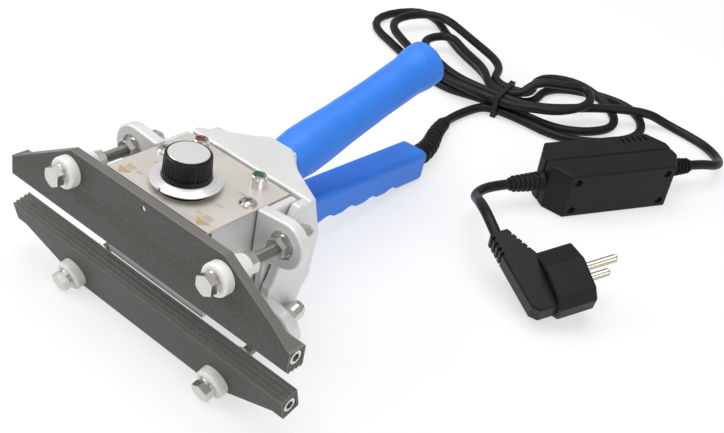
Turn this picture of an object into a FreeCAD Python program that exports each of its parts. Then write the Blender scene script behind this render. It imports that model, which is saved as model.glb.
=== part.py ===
"""Hand tong heat sealer: two heated bars on crossed castings, a dial box between them, and a mains lead.

The tool frame has X along the bars, Y from the bars towards the handles and Z square to the control
plate, with its origin under the middle of the upper bar's toothed face. Everything is built there and
then laid on the table: the table touches the lower front insulators and the lower grip's rear edge.
"""
import FreeCAD, Part
import math
import os

import Sketcher
from FreeCAD import Placement, Rotation, Vector

doc = FreeCAD.newDocument("tong_sealer")
sheet = doc.addObject("Spreadsheet::Sheet", "dims")


class Length:
    """A size together with the sheet expression that gives it, so that features can be bound to it."""

    def __init__(self, value, text):
        self.value = float(value)
        self.text = text

    @staticmethod
    def of(number):
        return number if isinstance(number, Length) else Length(number, repr(float(number)))

    @staticmethod
    def join(left, sign, right, value):
        return Length(value, "(%s %s %s)" % (left.text, sign, right.text))

    def __add__(self, other):
        other = Length.of(other)
        return Length.join(self, "+", other, self.value + other.value)

    def __sub__(self, other):
        other = Length.of(other)
        return Length.join(self, "-", other, self.value - other.value)

    def __mul__(self, other):
        other = Length.of(other)
        return Length.join(self, "*", other, self.value * other.value)

    def __truediv__(self, other):
        other = Length.of(other)
        return Length.join(self, "/", other, self.value / other.value)

    def __neg__(self):
        return Length.of(0) - self

    def __radd__(self, other):
        return Length.of(other) + self

    def __rsub__(self, other):
        return Length.of(other) - self

    def __rmul__(self, other):
        return Length.of(other) * self

    def __float__(self):
        return self.value


cells_used = []


def driving(alias, value):
    """Put one driving dimension in the sheet and give it back as a Length."""
    cells_used.append(alias)
    cell = "A%d" % len(cells_used)
    sheet.set(cell, str(value))
    sheet.setAlias(cell, alias)
    return Length(value, "dims.%s" % alias)


# Sealing bars
bar_length = driving("bar_length", 200)
bar_depth = driving("bar_depth", 10.5)
bar_front_height = driving("bar_front_height", 11.8)
bar_end_height = driving("bar_end_height", 12.3)
upper_end_flat = driving("upper_end_flat", 1.5)
lower_end_flat = driving("lower_end_flat", 7)
bar_shoulder = driving("bar_shoulder", 54.2)
upper_bar_height = driving("upper_bar_height", 38.1)
lower_bar_height = driving("lower_bar_height", 31)
flange_setback = driving("flange_setback", 1.2)
flange_thickness = driving("flange_thickness", 5)
band_top = driving("band_top", 19.4)
tooth_count = 4
tooth_depth = driving("tooth_depth", 1.1)
film_gap = driving("film_gap", 0.4)
heater_diameter = driving("heater_diameter", 8)
heater_length = driving("heater_length", 170)
heater_height = driving("heater_height", 7.2)
plug_diameter = driving("plug_diameter", 8.6)
plug_length = driving("plug_length", 7)
plug_socket = driving("plug_socket", 4)

# Bolts that carry the bars
bolt_spread = driving("bolt_spread", 54)
upper_bolt_height = driving("upper_bolt_height", 26.2)
lower_bolt_depth = driving("lower_bolt_depth", 22.5)
bolt_diameter = driving("bolt_diameter", 6)
hex_flats = driving("hex_flats", 10)
head_height = driving("head_height", 3.9)
nut_height = driving("nut_height", 5)
cap_nut_height = driving("cap_nut_height", 14)
cap_flats = driving("cap_flats", 11)
washer_radius = driving("washer_radius", 6)
flat_washer = driving("flat_washer", 0.8)
spring_washer = driving("spring_washer", 1)
hole_clearance = driving("hole_clearance", 0.25)
thread_clearance = driving("thread_clearance", 0.05)
insulator_radius = driving("insulator_radius", 8.5)
front_insulator = driving("front_insulator", 5.5)
rear_insulator = driving("rear_insulator", 9.5)
rear_insulator_tip = driving("rear_insulator_tip", 5.9)

# Castings
ear_front = driving("ear_front", 40.5)
ear_thickness = driving("ear_thickness", 7)
ear_radius = driving("ear_radius", 13)
ear_recess = driving("ear_recess", 1.5)
ear_recess_radius = driving("ear_recess_radius", 7.4)
cheek_inner = driving("cheek_inner", 36)
cheek_outer = driving("cheek_outer", 41)
left_cheek_outer = driving("left_cheek_outer", 39.5)
wall_gap = driving("wall_gap", 1)
wall_thickness = driving("wall_thickness", 6)
boss_radius = driving("boss_radius", 9)
cast_round = driving("cast_round", 1.4)
hinge_back = driving("hinge_back", 66)
hinge_drop = driving("hinge_drop", 8)
opening_angle = driving("opening_angle", 15.8)
pin_diameter = driving("pin_diameter", 8)
pin_play = driving("pin_play", 0.05)
clip_thickness = driving("clip_thickness", 1)
clip_gap = driving("clip_gap", 0.2)
shoulder_top = driving("shoulder_top", 38)
shoulder_thickness = driving("shoulder_thickness", 7)

# Control box, plate and dial
plate_half = driving("plate_half", 35.5)
plate_front = driving("plate_front", 8.5)
plate_rear = driving("plate_rear", 64.5)
plate_top = driving("plate_top", 36.6)
plate_thickness = driving("plate_thickness", 1.2)
box_half = driving("box_half", 35)
box_front = driving("box_front", 12)
box_rear = driving("box_rear", 57)
box_floor = driving("box_floor", -16)
box_wall = driving("box_wall", 1)
dial_back = driving("dial_back", 28)
dial_base_radius = driving("dial_base_radius", 14.5)
dial_base_height = driving("dial_base_height", 2.9)
skirt_radius = driving("skirt_radius", 18)
skirt_height = driving("skirt_height", 2.6)
skirt_rim = driving("skirt_rim", 0.9)
skirt_gap = driving("skirt_gap", 0.3)
knob_radius = driving("knob_radius", 12.2)
knob_height = driving("knob_height", 12.6)
knob_cap_radius = driving("knob_cap_radius", 10.2)
flute_count = 36
flute_radius = driving("flute_radius", 0.75)
shaft_radius = driving("shaft_radius", 3)
lamp_spread = driving("lamp_spread", 20.7)
lamp_back = driving("lamp_back", 57)
lamp_base_radius = driving("lamp_base_radius", 4.5)
lamp_top_radius = driving("lamp_top_radius", 3.7)
lamp_height = driving("lamp_height", 6.4)
lens_radius = driving("lens_radius", 3)
screw_spread = driving("screw_spread", 29.5)
screw_back = driving("screw_back", 41)
screw_head_radius = driving("screw_head_radius", 4.6)
screw_head_height = driving("screw_head_height", 2.2)
screw_radius = driving("screw_radius", 2)

# Handles
upper_grip_start = driving("upper_grip_start", 100)
upper_grip_height = driving("upper_grip_height", 23.5)
upper_grip_slope = driving("upper_grip_slope", 13.5)
upper_grip_length = driving("upper_grip_length", 129)
upper_grip_radius = driving("upper_grip_radius", 12.6)
upper_grip_flare = driving("upper_grip_flare", 14.2)
lower_grip_start = driving("lower_grip_start", 84)
lower_grip_height = driving("lower_grip_height", -9.3)
lower_grip_slope = driving("lower_grip_slope", -3.7)
lower_grip_length = driving("lower_grip_length", 150)
lower_grip_width = driving("lower_grip_width", 21)
lower_grip_rise = driving("lower_grip_rise", 9.5)
lower_grip_fall = driving("lower_grip_fall", 11.5)
grip_round = driving("grip_round", 4)
finger_count = 5
finger_depth = driving("finger_depth", 4.4)
finger_pitch = driving("finger_pitch", 21)
tang_width = driving("tang_width", 12)
tang_height = driving("tang_height", 9)
tang_play = driving("tang_play", 0.05)

doc.recompute()

# Values worked out from the driving dimensions
flange_rear = flange_setback + flange_thickness
sealing_face = tooth_depth - film_gap
lower_bolt_height = sealing_face - lower_bolt_depth
bolt_radius = bolt_diameter / 2
pin_radius = pin_diameter / 2
wall_inner = cheek_outer + wall_gap
wall_outer = wall_inner + wall_thickness
ear_rear = ear_front + ear_thickness
hinge = Vector(0, float(hinge_back), -float(hinge_drop))

X_AXIS = Vector(1, 0, 0)
UNTURNED = Rotation()
opening = Placement(Vector(), Rotation(X_AXIS, float(opening_angle)), hinge)

tool_pieces = []
lead_pieces = []


def bind(thing, prop, length):
    """Set a property and tie it to the sheet when its size comes from there."""
    length = Length.of(length)
    setattr(thing, prop, length.value)
    if "dims." in length.text:
        thing.setExpression(prop, length.text)


def plane_of(body, role):
    return [feature for feature in body.Origin.OriginFeatures if feature.Role == role][0]


def sketch_on(body, role, start=0):
    """A sketch on one of the body's own origin planes, pushed along the plane's normal."""
    sketch = body.newObject("Sketcher::SketchObject", body.Name + "_outline")
    sketch.AttachmentSupport = [(plane_of(body, role), "")]
    sketch.MapMode = "FlatFace"
    start = Length.of(start)
    sketch.AttachmentOffset = Placement(Vector(0, 0, start.value), UNTURNED)
    if "dims." in start.text:
        sketch.setExpression(".AttachmentOffset.Base.z", start.text)
    return sketch


def fix_point(sketch, line, end, place):
    """Pin one end of a sketch line to its two distances from the origin."""
    for kind, distance in zip(("DistanceX", "DistanceY"), place):
        distance = Length.of(distance)
        index = sketch.addConstraint(Sketcher.Constraint(kind, -1, 1, line, end, distance.value))
        if "dims." in distance.text:
            sketch.setExpression("Constraints[%d]" % index, distance.text)


def draw_outline(sketch, points):
    """A closed outline of straight lines, with every corner tied to the sheet."""
    corners = [Vector(float(a), float(b), 0) for a, b in points]
    count = len(corners)
    lines = [Part.LineSegment(corners[i], corners[(i + 1) % count]) for i in range(count)]
    sketch.addGeometry(lines, False)
    for i in range(count):
        sketch.addConstraint(Sketcher.Constraint("Coincident", i, 2, (i + 1) % count, 1))
    for i, place in enumerate(points):
        fix_point(sketch, i, 1, place)


def prism(name, role, points, start, depth, rounding=None):
    """A straight extrusion of an outline, from start to start + depth, with rounded edges if asked."""
    body = doc.addObject("PartDesign::Body", name)
    start = Length.of(start)
    depth = Length.of(depth)
    if role == "XZ_Plane":
        start = -(start + depth)
    sketch = sketch_on(body, role, start)
    draw_outline(sketch, points)
    pad = body.newObject("PartDesign::Pad", name + "_pad")
    pad.Profile = sketch
    bind(pad, "Length", depth)
    if rounding is not None:
        doc.recompute()
        fillet = body.newObject("PartDesign::Fillet", name + "_round")
        fillet.Base = (pad, [""])
        fillet.UseAllEdges = True
        bind(fillet, "Radius", rounding)
    return body


def turned(name, points, role="XY_Plane"):
    """A full turn of an outline given as (radius, distance along the axis).

    On XY_Plane the axis is Y, and on XZ_Plane it is Z.
    """
    body = doc.addObject("PartDesign::Body", name)
    sketch = sketch_on(body, role)
    draw_outline(sketch, points)
    spin = body.newObject("PartDesign::Revolution", name + "_turn")
    spin.Profile = sketch
    spin.ReferenceAxis = (sketch, ["V_Axis"])
    spin.Angle = 360
    return body


def round_edges(body, radius, wanted):
    """Round those edges of a body that the test picks out."""
    doc.recompute()
    base = body.Tip
    names = ["Edge%d" % (i + 1) for i, edge in enumerate(base.Shape.Edges) if wanted(edge)]
    fillet = body.newObject("PartDesign::Fillet", body.Name + "_round")
    fillet.Base = (base, names)
    bind(fillet, "Radius", radius)
    return body


def rod(name, radius, length, place, axis):
    """A plain cylinder that starts at a place and runs along an axis."""
    cylinder = doc.addObject("Part::Cylinder", name)
    bind(cylinder, "Radius", radius)
    bind(cylinder, "Height", length)
    cylinder.Placement = Placement(place, Rotation(Vector(0, 0, 1), axis))
    return cylinder


def block(name, low, high):
    """A box between two corners given in Lengths or numbers."""
    box = doc.addObject("Part::Box", name)
    for prop, a, b in zip(("Length", "Width", "Height"), low, high):
        bind(box, prop, Length.of(b) - a)
    box.Placement = Placement(Vector(*[float(a) for a in low]), UNTURNED)
    return box


def fuse(name, pieces):
    joined = doc.addObject("Part::MultiFuse", name)
    joined.Shapes = pieces
    return joined


def group(name, pieces):
    together = doc.addObject("Part::Compound", name)
    together.Links = pieces
    return together


def cut(name, base, tools):
    trimmed = doc.addObject("Part::Cut", name)
    trimmed.Base = base
    trimmed.Tool = tools[0] if len(tools) == 1 else group(name + "_tools", tools)
    return trimmed


def mirrored(piece):
    twin = doc.addObject("Part::Mirroring", piece.Name + "_twin")
    twin.Source = piece
    twin.Normal = X_AXIS
    return twin


def both_sides(name, pieces):
    """One node of separate solids: each piece and its mirror image across the middle of the tool."""
    return group(name, pieces + [mirrored(piece) for piece in pieces])


def tool_piece(label, piece, pose=None):
    """Register a finished piece of the tool under its node name, with its pose in the tool frame."""
    piece.Label = label
    tool_pieces.append((piece, pose or Placement()))
    return piece


def at(x, y, z):
    return Vector(float(x), float(y), float(z))


def hexagon(flats):
    """The six corners of a hexagon of a given width across its flats, two flats facing sideways."""
    corner = flats / math.sqrt(3)
    angles = [math.radians(60 * i + 30) for i in range(6)]
    return [(corner * round(math.cos(a), 9), corner * round(math.sin(a), 9)) for a in angles]


def hex_blank(name, flats, start, height, crown_first, crown_last):
    """A hexagon along Y with its corners turned down at one or both ends, as on a nut or a bolt head."""
    corner = flats / math.sqrt(3)
    chamfer = (corner - flats / 2) * 0.8
    drop = chamfer / 2
    first = drop if crown_first else 0
    last = drop if crown_last else 0
    end = start + height
    prism_body = prism(name + "_hex", "XZ_Plane", hexagon(flats), start, height)
    points = [(0, start), (corner - (chamfer if crown_first else 0), start)]
    if crown_first:
        points.append((corner, start + first))
    if crown_last:
        points.append((corner, end - last))
    points += [(corner - (chamfer if crown_last else 0), end), (0, end)]
    envelope = turned(name + "_crown", points)
    common = doc.addObject("Part::Common", name)
    common.Base = prism_body
    common.Tool = envelope
    return common


def ring(name, inner, outer, start, height):
    return turned(name, [(inner, start), (outer, start), (outer, start + height), (inner, start + height)])


def moved(piece, place):
    """Put a piece that was built on the Y axis at its bolt."""
    piece.Placement = Placement(place, UNTURNED)
    return piece


# Sealing bars: an aluminium extrusion with crimping teeth, a heater bore and a bolt flange

tooth_pitch = bar_depth / tooth_count


def toothed_edge(tip, valley, tips_at_ends):
    """Points of a zigzag from the front of the bar to its rear."""
    count = 2 * tooth_count + 1
    heights = [tip, valley] if tips_at_ends else [valley, tip]
    return [(tooth_pitch * (i / 2), heights[i % 2]) for i in range(count)]


def bar_blank(name, section, height, up, end_flat):
    """The extruded bar with its ends cut low: straight slopes run from the end flats to the shoulders."""
    blank = prism(name + "_blank", "YZ_Plane", section, -bar_length / 2, bar_length)
    beyond = 5
    face = Length.of(0) if up > 0 else sealing_face
    low = face + up * bar_end_height
    high = face + up * height
    clear = high + up * beyond
    corner = [
        (bar_length / 2 + beyond, low),
        (bar_length / 2 - end_flat, low),
        (bar_shoulder, high),
        (bar_shoulder, clear),
        (bar_length / 2 + beyond, clear),
    ]
    side = prism(name + "_corner", "XZ_Plane", corner, -beyond, bar_depth + 2 * beyond)
    return blank, [side, mirrored(side)]


def heater_bore(name, height):
    start = at(-bar_length, bar_depth / 2, height)
    return rod(name, plug_diameter / 2, bar_length * 2, start, X_AXIS)


def bolt_holes(name, height, radius, start, length):
    hole = rod(name, radius, length, at(bolt_spread, start, height), Vector(0, 1, 0))
    return [hole, mirrored(hole)]


block_slope = bar_depth - flange_rear
upper_section = toothed_edge(Length.of(0), tooth_depth, False) + [
    (bar_depth, bar_front_height),
    (flange_rear, bar_front_height + block_slope),
    (flange_rear, upper_bar_height),
    (flange_setback, upper_bar_height),
    (flange_setback, band_top),
    (Length.of(0), bar_front_height),
]
upper_blank, upper_cuts = bar_blank("upper_bar", upper_section, upper_bar_height, 1, upper_end_flat)
bolt_hole_radius = bolt_radius + hole_clearance
spot_face_radius = insulator_radius + hole_clearance
probe_height = 33
probe_radius = 1.8
probe_depth = 3.5
probe_sink = 0.7
upper_cuts += bolt_holes("upper_bar_hole", upper_bolt_height, bolt_hole_radius, -10, 40)
upper_cuts += bolt_holes("upper_spot_face", upper_bolt_height, spot_face_radius, flange_rear, 20)
upper_cuts += bolt_holes("upper_front_seat", upper_bolt_height, spot_face_radius, flange_setback - 20, 20)
upper_cuts.append(heater_bore("upper_heater_bore", heater_height))
probe_at = at(0, flange_setback, probe_height)
upper_cuts.append(rod("probe_hole", probe_radius, probe_depth, probe_at, Vector(0, 1, 0)))
tool_piece("upper_bar", cut("upper_bar", upper_blank, upper_cuts))

probe_screw = turned("probe_screw", [
    (0, flange_setback + probe_sink),
    (probe_radius - thread_clearance - 0.5, flange_setback + probe_sink),
    (probe_radius - thread_clearance, flange_setback + probe_sink + 0.5),
    (probe_radius - thread_clearance, flange_setback + probe_depth),
    (0, flange_setback + probe_depth),
])
tool_piece("probe_screw", moved(probe_screw, at(0, 0, probe_height)))

lower_rear = flange_thickness
lower_slope = bar_depth - lower_rear
lower_section = toothed_edge(sealing_face, -film_gap, True) + [
    (bar_depth, sealing_face - bar_front_height),
    (lower_rear, sealing_face - bar_front_height - lower_slope),
    (lower_rear, sealing_face - lower_bar_height),
    (Length.of(0), sealing_face - lower_bar_height),
]
lower_blank, lower_cuts = bar_blank("lower_bar", lower_section, lower_bar_height, -1, lower_end_flat)
lower_cuts += bolt_holes("lower_bar_hole", lower_bolt_height, bolt_hole_radius, -10, 40)
lower_cuts += bolt_holes("lower_spot_face", lower_bolt_height, spot_face_radius, lower_rear, 20)
lower_cuts.append(heater_bore("lower_heater_bore", sealing_face - heater_height))
tool_piece("lower_bar", cut("lower_bar", lower_blank, lower_cuts), opening)


def heater_set(side, height, pose):
    """A cartridge heater in the bar's bore, shut in by a socket set screw at each end."""
    start = at(-heater_length / 2, bar_depth / 2, height)
    heater = rod(side + "_heater", heater_diameter / 2, heater_length, start, X_AXIS)
    tool_piece(side + "_heater", heater, pose)
    sink = 0.5
    socket_depth = 4
    screw = turned(side + "_plug_blank", [
        (0, -plug_length),
        (plug_diameter / 2 - thread_clearance, -plug_length),
        (plug_diameter / 2 - thread_clearance, -0.6),
        (plug_diameter / 2 - thread_clearance - 0.6, 0),
        (0, 0),
    ])
    socket = prism(side + "_plug_socket", "XZ_Plane", hexagon(plug_socket), -socket_depth, socket_depth + 1)
    plug = cut(side + "_end_plug", screw, [socket])
    outwards = Rotation(Vector(0, 1, 0), X_AXIS)
    plug.Placement = Placement(at(bar_length / 2 - sink, bar_depth / 2, height), outwards)
    tool_piece(side + "_end_plugs", both_sides(side + "_end_plugs", [plug]), pose)


heater_set("upper", heater_height, None)
heater_set("lower", sealing_face - heater_height, opening)

# Each bar hangs on two long bolts, held off by white insulators and nutted to the castings' ears


def bolt_set(side, flange_face, flange_back, height, pose):
    """Everything on the two bolts of one bar, as nodes of two or more separate solids."""
    place = at(bolt_spread, 0, height)
    bore = bolt_radius + thread_clearance
    insulator_front = flange_face - front_insulator
    washer_front = insulator_front - flat_washer
    spring_front = washer_front - spring_washer
    head_front = spring_front - head_height
    cone_end = flange_back + rear_insulator
    recess_floor = ear_front + ear_recess
    ear_washer = recess_floor - flat_washer
    ear_spring = ear_washer - spring_washer
    ear_nut = ear_spring - nut_height
    bolt_end = ear_rear + nut_height + 2
    dome_base = ear_rear + nut_height * 0.9

    head = hex_blank(side + "_bolt_head", hex_flats, head_front, head_height, True, False)
    shank = turned(side + "_bolt_shank", [
        (0, spring_front - 1),
        (bolt_radius, spring_front - 1),
        (bolt_radius, bolt_end - 1),
        (bolt_radius - 1, bolt_end),
        (0, bolt_end),
    ])
    bolt = moved(fuse(side + "_bolt", [head, shank]), place)
    tool_piece(side + "_bolts", both_sides(side + "_bolts", [bolt]), pose)

    front = ring(side + "_front_insulator", bore, insulator_radius, insulator_front, front_insulator)
    round_edges(front, 1.6, lambda edge: is_rim(edge, insulator_radius, insulator_front))
    front = moved(front, place)
    tool_piece(side + "_front_insulators", both_sides(side + "_front_insulators", [front]), pose)

    rear = turned(side + "_rear_insulator", [
        (bore, flange_back),
        (insulator_radius, flange_back),
        (insulator_radius, flange_back + 1),
        (rear_insulator_tip, cone_end),
        (bore, cone_end),
    ])
    rear = moved(rear, place)
    tool_piece(side + "_rear_insulators", both_sides(side + "_rear_insulators", [rear]), pose)

    spring_radius = washer_radius - 0.7
    washers = [
        moved(ring(side + "_head_flat", bore, washer_radius, washer_front, flat_washer), place),
        moved(ring(side + "_head_spring", bore, spring_radius, spring_front, spring_washer), place),
        moved(ring(side + "_ear_flat", bore, washer_radius, ear_washer, flat_washer), place),
        moved(ring(side + "_ear_spring", bore, spring_radius, ear_spring, spring_washer), place),
    ]
    tool_piece(side + "_washers", both_sides(side + "_washers", washers), pose)

    nuts = []
    for name, start in (("bar_nut", cone_end), ("ear_nut", ear_nut)):
        blank = hex_blank("%s_%s_blank" % (side, name), hex_flats, start, nut_height, True, True)
        hole = rod("%s_%s_hole" % (side, name), bore, nut_height + 4, at(0, start - 2, 0), Vector(0, 1, 0))
        nuts.append(moved(cut("%s_%s" % (side, name), blank, [hole]), place))
    tool_piece(side + "_nuts", both_sides(side + "_nuts", nuts), pose)

    base = hex_blank(side + "_cap_base", cap_flats, ear_rear, nut_height, False, True)
    dome_radius = cap_flats / 2 - 0.4
    dome_end = ear_rear + cap_nut_height
    dome = turned(side + "_cap_dome", [
        (0, dome_base),
        (dome_radius, dome_base),
        (dome_radius, dome_end - dome_radius * 0.8),
        (dome_radius * 0.72, dome_end - dome_radius * 0.25),
        (dome_radius * 0.35, dome_end),
        (0, dome_end),
    ])
    hole = rod(side + "_cap_hole", bore, nut_height + 4, at(0, ear_rear - 1, 0), Vector(0, 1, 0))
    cap = moved(cut(side + "_cap_nut", fuse(side + "_cap_blank", [base, dome]), [hole]), place)
    tool_piece(side + "_cap_nuts", both_sides(side + "_cap_nuts", [cap]), pose)


def is_rim(edge, radius, along):
    """True for the circular edge of a turned piece at a radius and a distance along its Y axis."""
    box = edge.BoundBox
    at_plane = abs(box.YMin - float(along)) < 0.01 and abs(box.YMax - float(along)) < 0.01
    return at_plane and abs(box.XLength - 2 * float(radius)) < 0.05


bolt_set("upper", flange_setback, flange_rear, upper_bolt_height, None)
bolt_set("lower", Length.of(0), lower_rear, lower_bolt_height, opening)

# Castings: the fixed one has the upper ears, the cheeks beside the box and the lower handle's tang.
# The moving one has the shoulder plate with the upper handle's tang, two walls and the lower ears.


def ear(name, height, root, root_top, root_low, pose=None):
    """A rounded ear plate round a bolt: two straight edges run tangent to a round end."""
    body = doc.addObject("PartDesign::Body", name)
    sketch = sketch_on(body, "XZ_Plane", -ear_rear)
    centre = Vector(float(bolt_spread), float(height), 0)
    radius = float(ear_radius)
    top = Vector(float(root), float(root_top), 0)
    low = Vector(float(root), float(root_low), 0)

    def touch(point, side):
        span = centre - point
        reach = span.Length
        turn = math.atan2(span.y, span.x) + side * math.asin(radius / reach)
        run = math.sqrt(reach * reach - radius * radius)
        return point + Vector(math.cos(turn), math.sin(turn), 0) * run

    upper_touch = touch(top, 1)
    lower_touch = touch(low, -1)
    nose = centre + Vector(radius, 0, 0)
    sketch.addGeometry([
        Part.LineSegment(low, top),
        Part.LineSegment(top, upper_touch),
        Part.Arc(lower_touch, nose, upper_touch),
        Part.LineSegment(lower_touch, low),
    ], False)
    sketch.addConstraint(Sketcher.Constraint("Coincident", 0, 2, 1, 1))
    sketch.addConstraint(Sketcher.Constraint("Coincident", 3, 2, 0, 1))
    sketch.addConstraint(Sketcher.Constraint("Tangent", 1, 2, 2, 2))
    sketch.addConstraint(Sketcher.Constraint("Tangent", 3, 1, 2, 1))
    fix_point(sketch, 0, 1, (root, root_low))
    fix_point(sketch, 0, 2, (root, root_top))
    fix_point(sketch, 2, 3, (bolt_spread, height))
    index = sketch.addConstraint(Sketcher.Constraint("Radius", 2, radius))
    sketch.setExpression("Constraints[%d]" % index, ear_radius.text)
    pad = body.newObject("PartDesign::Pad", name + "_pad")
    pad.Profile = sketch
    bind(pad, "Length", ear_thickness)
    doc.recompute()
    fillet = body.newObject("PartDesign::Fillet", name + "_round")
    fillet.Base = (pad, [""])
    fillet.UseAllEdges = True
    bind(fillet, "Radius", cast_round)
    if pose is not None:
        body.Placement = pose
    return body


def ear_cuts(name, height):
    """Bolt holes right through the two ears and a washer recess in each front face."""
    holes = bolt_holes(name + "_hole", height, bolt_hole_radius, ear_front - 5, ear_thickness + 10)
    holes += bolt_holes(name + "_recess", height, ear_recess_radius, ear_front - 5, ear_recess + 5)
    return holes


def tang(name, start, height, slope, from_start, length, wide, tall):
    """A square bar along a handle's axis, which starts at a place and slopes up towards the rear."""
    bar = doc.addObject("Part::Box", name)
    bind(bar, "Length", wide)
    bind(bar, "Width", length)
    bind(bar, "Height", tall)
    axis = handle_axis(start, height, slope)
    corner = at(-Length.of(wide) / 2, from_start, -Length.of(tall) / 2)
    bar.Placement = axis * Placement(corner, UNTURNED)
    return bar


def handle_axis(start, height, slope):
    return Placement(at(0, start, height), Rotation(X_AXIS, float(slope)))


cheek_top = plate_top - 0.2
shoulder_low = shoulder_top - shoulder_thickness
cheek_line = [
    (ear_front + 1, cheek_top),
    (plate_rear + 0.5, cheek_top),
    (plate_rear + 0.5, shoulder_low - 2),
    (plate_rear + 4.5, shoulder_low - 4),
    (hinge_back + 12, Length.of(0)),
    (hinge_back + 12, -hinge_drop - 8),
    (hinge_back + 2, -hinge_drop - 15),
    (ear_front + 5, -hinge_drop - 15),
    (ear_front + 5, Length.of(4)),
    (ear_front + 1, Length.of(8)),
]
cheek_thickness = cheek_outer - cheek_inner
left_thickness = left_cheek_outer - cheek_inner
right_cheek = prism("right_cheek", "YZ_Plane", cheek_line, cheek_inner, cheek_thickness, cast_round)
left_cheek = prism("left_cheek", "YZ_Plane", cheek_line, -left_cheek_outer, left_thickness, cast_round)
left_boss = rod("left_boss", boss_radius, cheek_thickness, at(-cheek_outer, hinge.y, hinge.z), X_AXIS)
ear_root_top = plate_top + 1
ear_root_low = upper_bolt_height - 18
upper_ear = ear("upper_ear", upper_bolt_height, cheek_inner, ear_root_top, ear_root_low)
web_front = hinge_back + 9
cross_bar = block(
    "cross_bar",
    (-cheek_outer + 2, ear_front + 6, box_floor - 6),
    (cheek_outer - 2, box_rear, box_floor),
)
rear_web = block(
    "rear_web",
    (-cheek_inner - 2, web_front, -hinge_drop - 13),
    (cheek_inner + 2, lower_grip_start - 1, Length.of(5)),
)
lower_tang_reach = lower_grip_length - 14
lower_tang = tang(
    "lower_tang", lower_grip_start, lower_grip_height, lower_grip_slope,
    -6, lower_tang_reach + 6, tang_width, tang_height,
)
fixed_blank = fuse("fixed_blank", [
    right_cheek, left_cheek, left_boss, upper_ear, mirrored(upper_ear), cross_bar, rear_web, lower_tang,
])
pin_seat_start = at(-cheek_outer * 2, hinge.y, hinge.z)
pin_seat = rod("pin_seat", pin_radius + 0.01, cheek_outer * 4, pin_seat_start, X_AXIS)
fixed_holes = ear_cuts("upper_ear", upper_bolt_height) + [pin_seat]
tool_piece("fixed_casting", cut("fixed_casting", fixed_blank, fixed_holes))

shoulder_rear = upper_grip_start - 3.6
shoulder_line = [
    (-cheek_inner - 1, plate_rear + 1.5),
    (wall_outer, plate_rear + 1.5),
    (wall_outer, plate_rear + 6),
    (Length.of(24), shoulder_rear - 13),
    (Length.of(13), shoulder_rear - 4),
    (Length.of(8), shoulder_rear),
    (Length.of(-8), shoulder_rear),
    (Length.of(-13), shoulder_rear - 6),
    (-cheek_inner - 1, plate_rear + 6),
]
shoulder = prism("shoulder", "XY_Plane", shoulder_line, shoulder_low, shoulder_thickness, cast_round)
wall_low = [
    (hinge_back + 10, -hinge_drop + 4),
    (hinge_back + 1, -hinge_drop - 21),
    (hinge_back - 6, -hinge_drop - 28),
    (ear_front + 6, -hinge_drop - 30),
    (ear_front + 3, -hinge_drop - 14),
    (ear_front + 4, -hinge_drop + 1),
    (ear_rear - 0.5, -hinge_drop + 5),
]
right_wall_line = wall_low + [
    (ear_rear + 2, Length.of(4)),
    (ear_rear + 7, shoulder_top - 8),
    (ear_rear + 11, shoulder_top - 0.5),
    (plate_rear + 6, shoulder_top - 0.5),
    (hinge_back + 12, shoulder_top - 24),
]
left_wall_top = Length.of(18)
left_wall_rear = plate_rear + 21
left_wall_line = wall_low + [
    (ear_rear + 2, Length.of(4)),
    (ear_rear + 7, left_wall_top),
    (left_wall_rear, left_wall_top),
    (left_wall_rear, left_wall_top - 10),
]
right_wall = prism("right_wall", "YZ_Plane", right_wall_line, wall_inner, wall_thickness, cast_round)
left_wall = prism("left_wall", "YZ_Plane", left_wall_line, -wall_outer, wall_thickness, cast_round)
left_shoulder_line = [
    (-wall_outer, left_wall_top - 10),
    (-wall_inner, left_wall_top - 10),
    (-cheek_inner + 2, shoulder_low - 5),
    (Length.of(-12), shoulder_low - 3),
    (Length.of(-12), shoulder_top - 2),
    (-cheek_inner, shoulder_top - 4),
    (-wall_outer, left_wall_top),
]
left_shoulder = prism("left_shoulder", "XZ_Plane", left_shoulder_line, left_wall_rear - 8, 8, cast_round)
gusset_line = [
    (plate_rear + 14, shoulder_low + 2),
    (upper_grip_start - 2, shoulder_top - 2),
    (upper_grip_start + 3, upper_grip_height - 6),
    (upper_grip_start - 6, upper_grip_height - 8),
    (plate_rear + 15, shoulder_low - 6),
]
gusset = prism("gusset", "YZ_Plane", gusset_line, -10, 20, cast_round)
hinge_boss = rod("hinge_boss", boss_radius, wall_thickness, at(wall_inner, hinge.y, hinge.z), X_AXIS)
lower_root_top = lower_bolt_height + 17
lower_root_low = lower_bolt_height - 12
lower_ear = ear("lower_ear", lower_bolt_height, wall_inner, lower_root_top, lower_root_low, opening)
upper_tang_reach = upper_grip_length - 14
upper_tang = tang(
    "upper_tang", upper_grip_start, upper_grip_height, upper_grip_slope,
    -6, upper_tang_reach + 6, tang_width, tang_height,
)
moving_blank = fuse("moving_blank", [
    shoulder, right_wall, left_wall, left_shoulder, gusset, hinge_boss, mirrored(hinge_boss),
    lower_ear, mirrored(lower_ear), upper_tang,
])
pin_skin = 1.5
pin_run_half = wall_outer - pin_skin
pin_run_start = at(-pin_run_half, hinge.y, hinge.z)
pin_run = rod("pin_run", pin_radius + pin_play, pin_run_half * 2, pin_run_start, X_AXIS)
lower_ear_tools = group("lower_ear_tools", ear_cuts("lower_ear", lower_bolt_height))
lower_ear_tools.Placement = opening
tool_piece("moving_casting", cut("moving_casting", moving_blank, [pin_run, lower_ear_tools]))

# Hinge: a pin that ends blind in the walls, held by a clip inside each cheek

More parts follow.
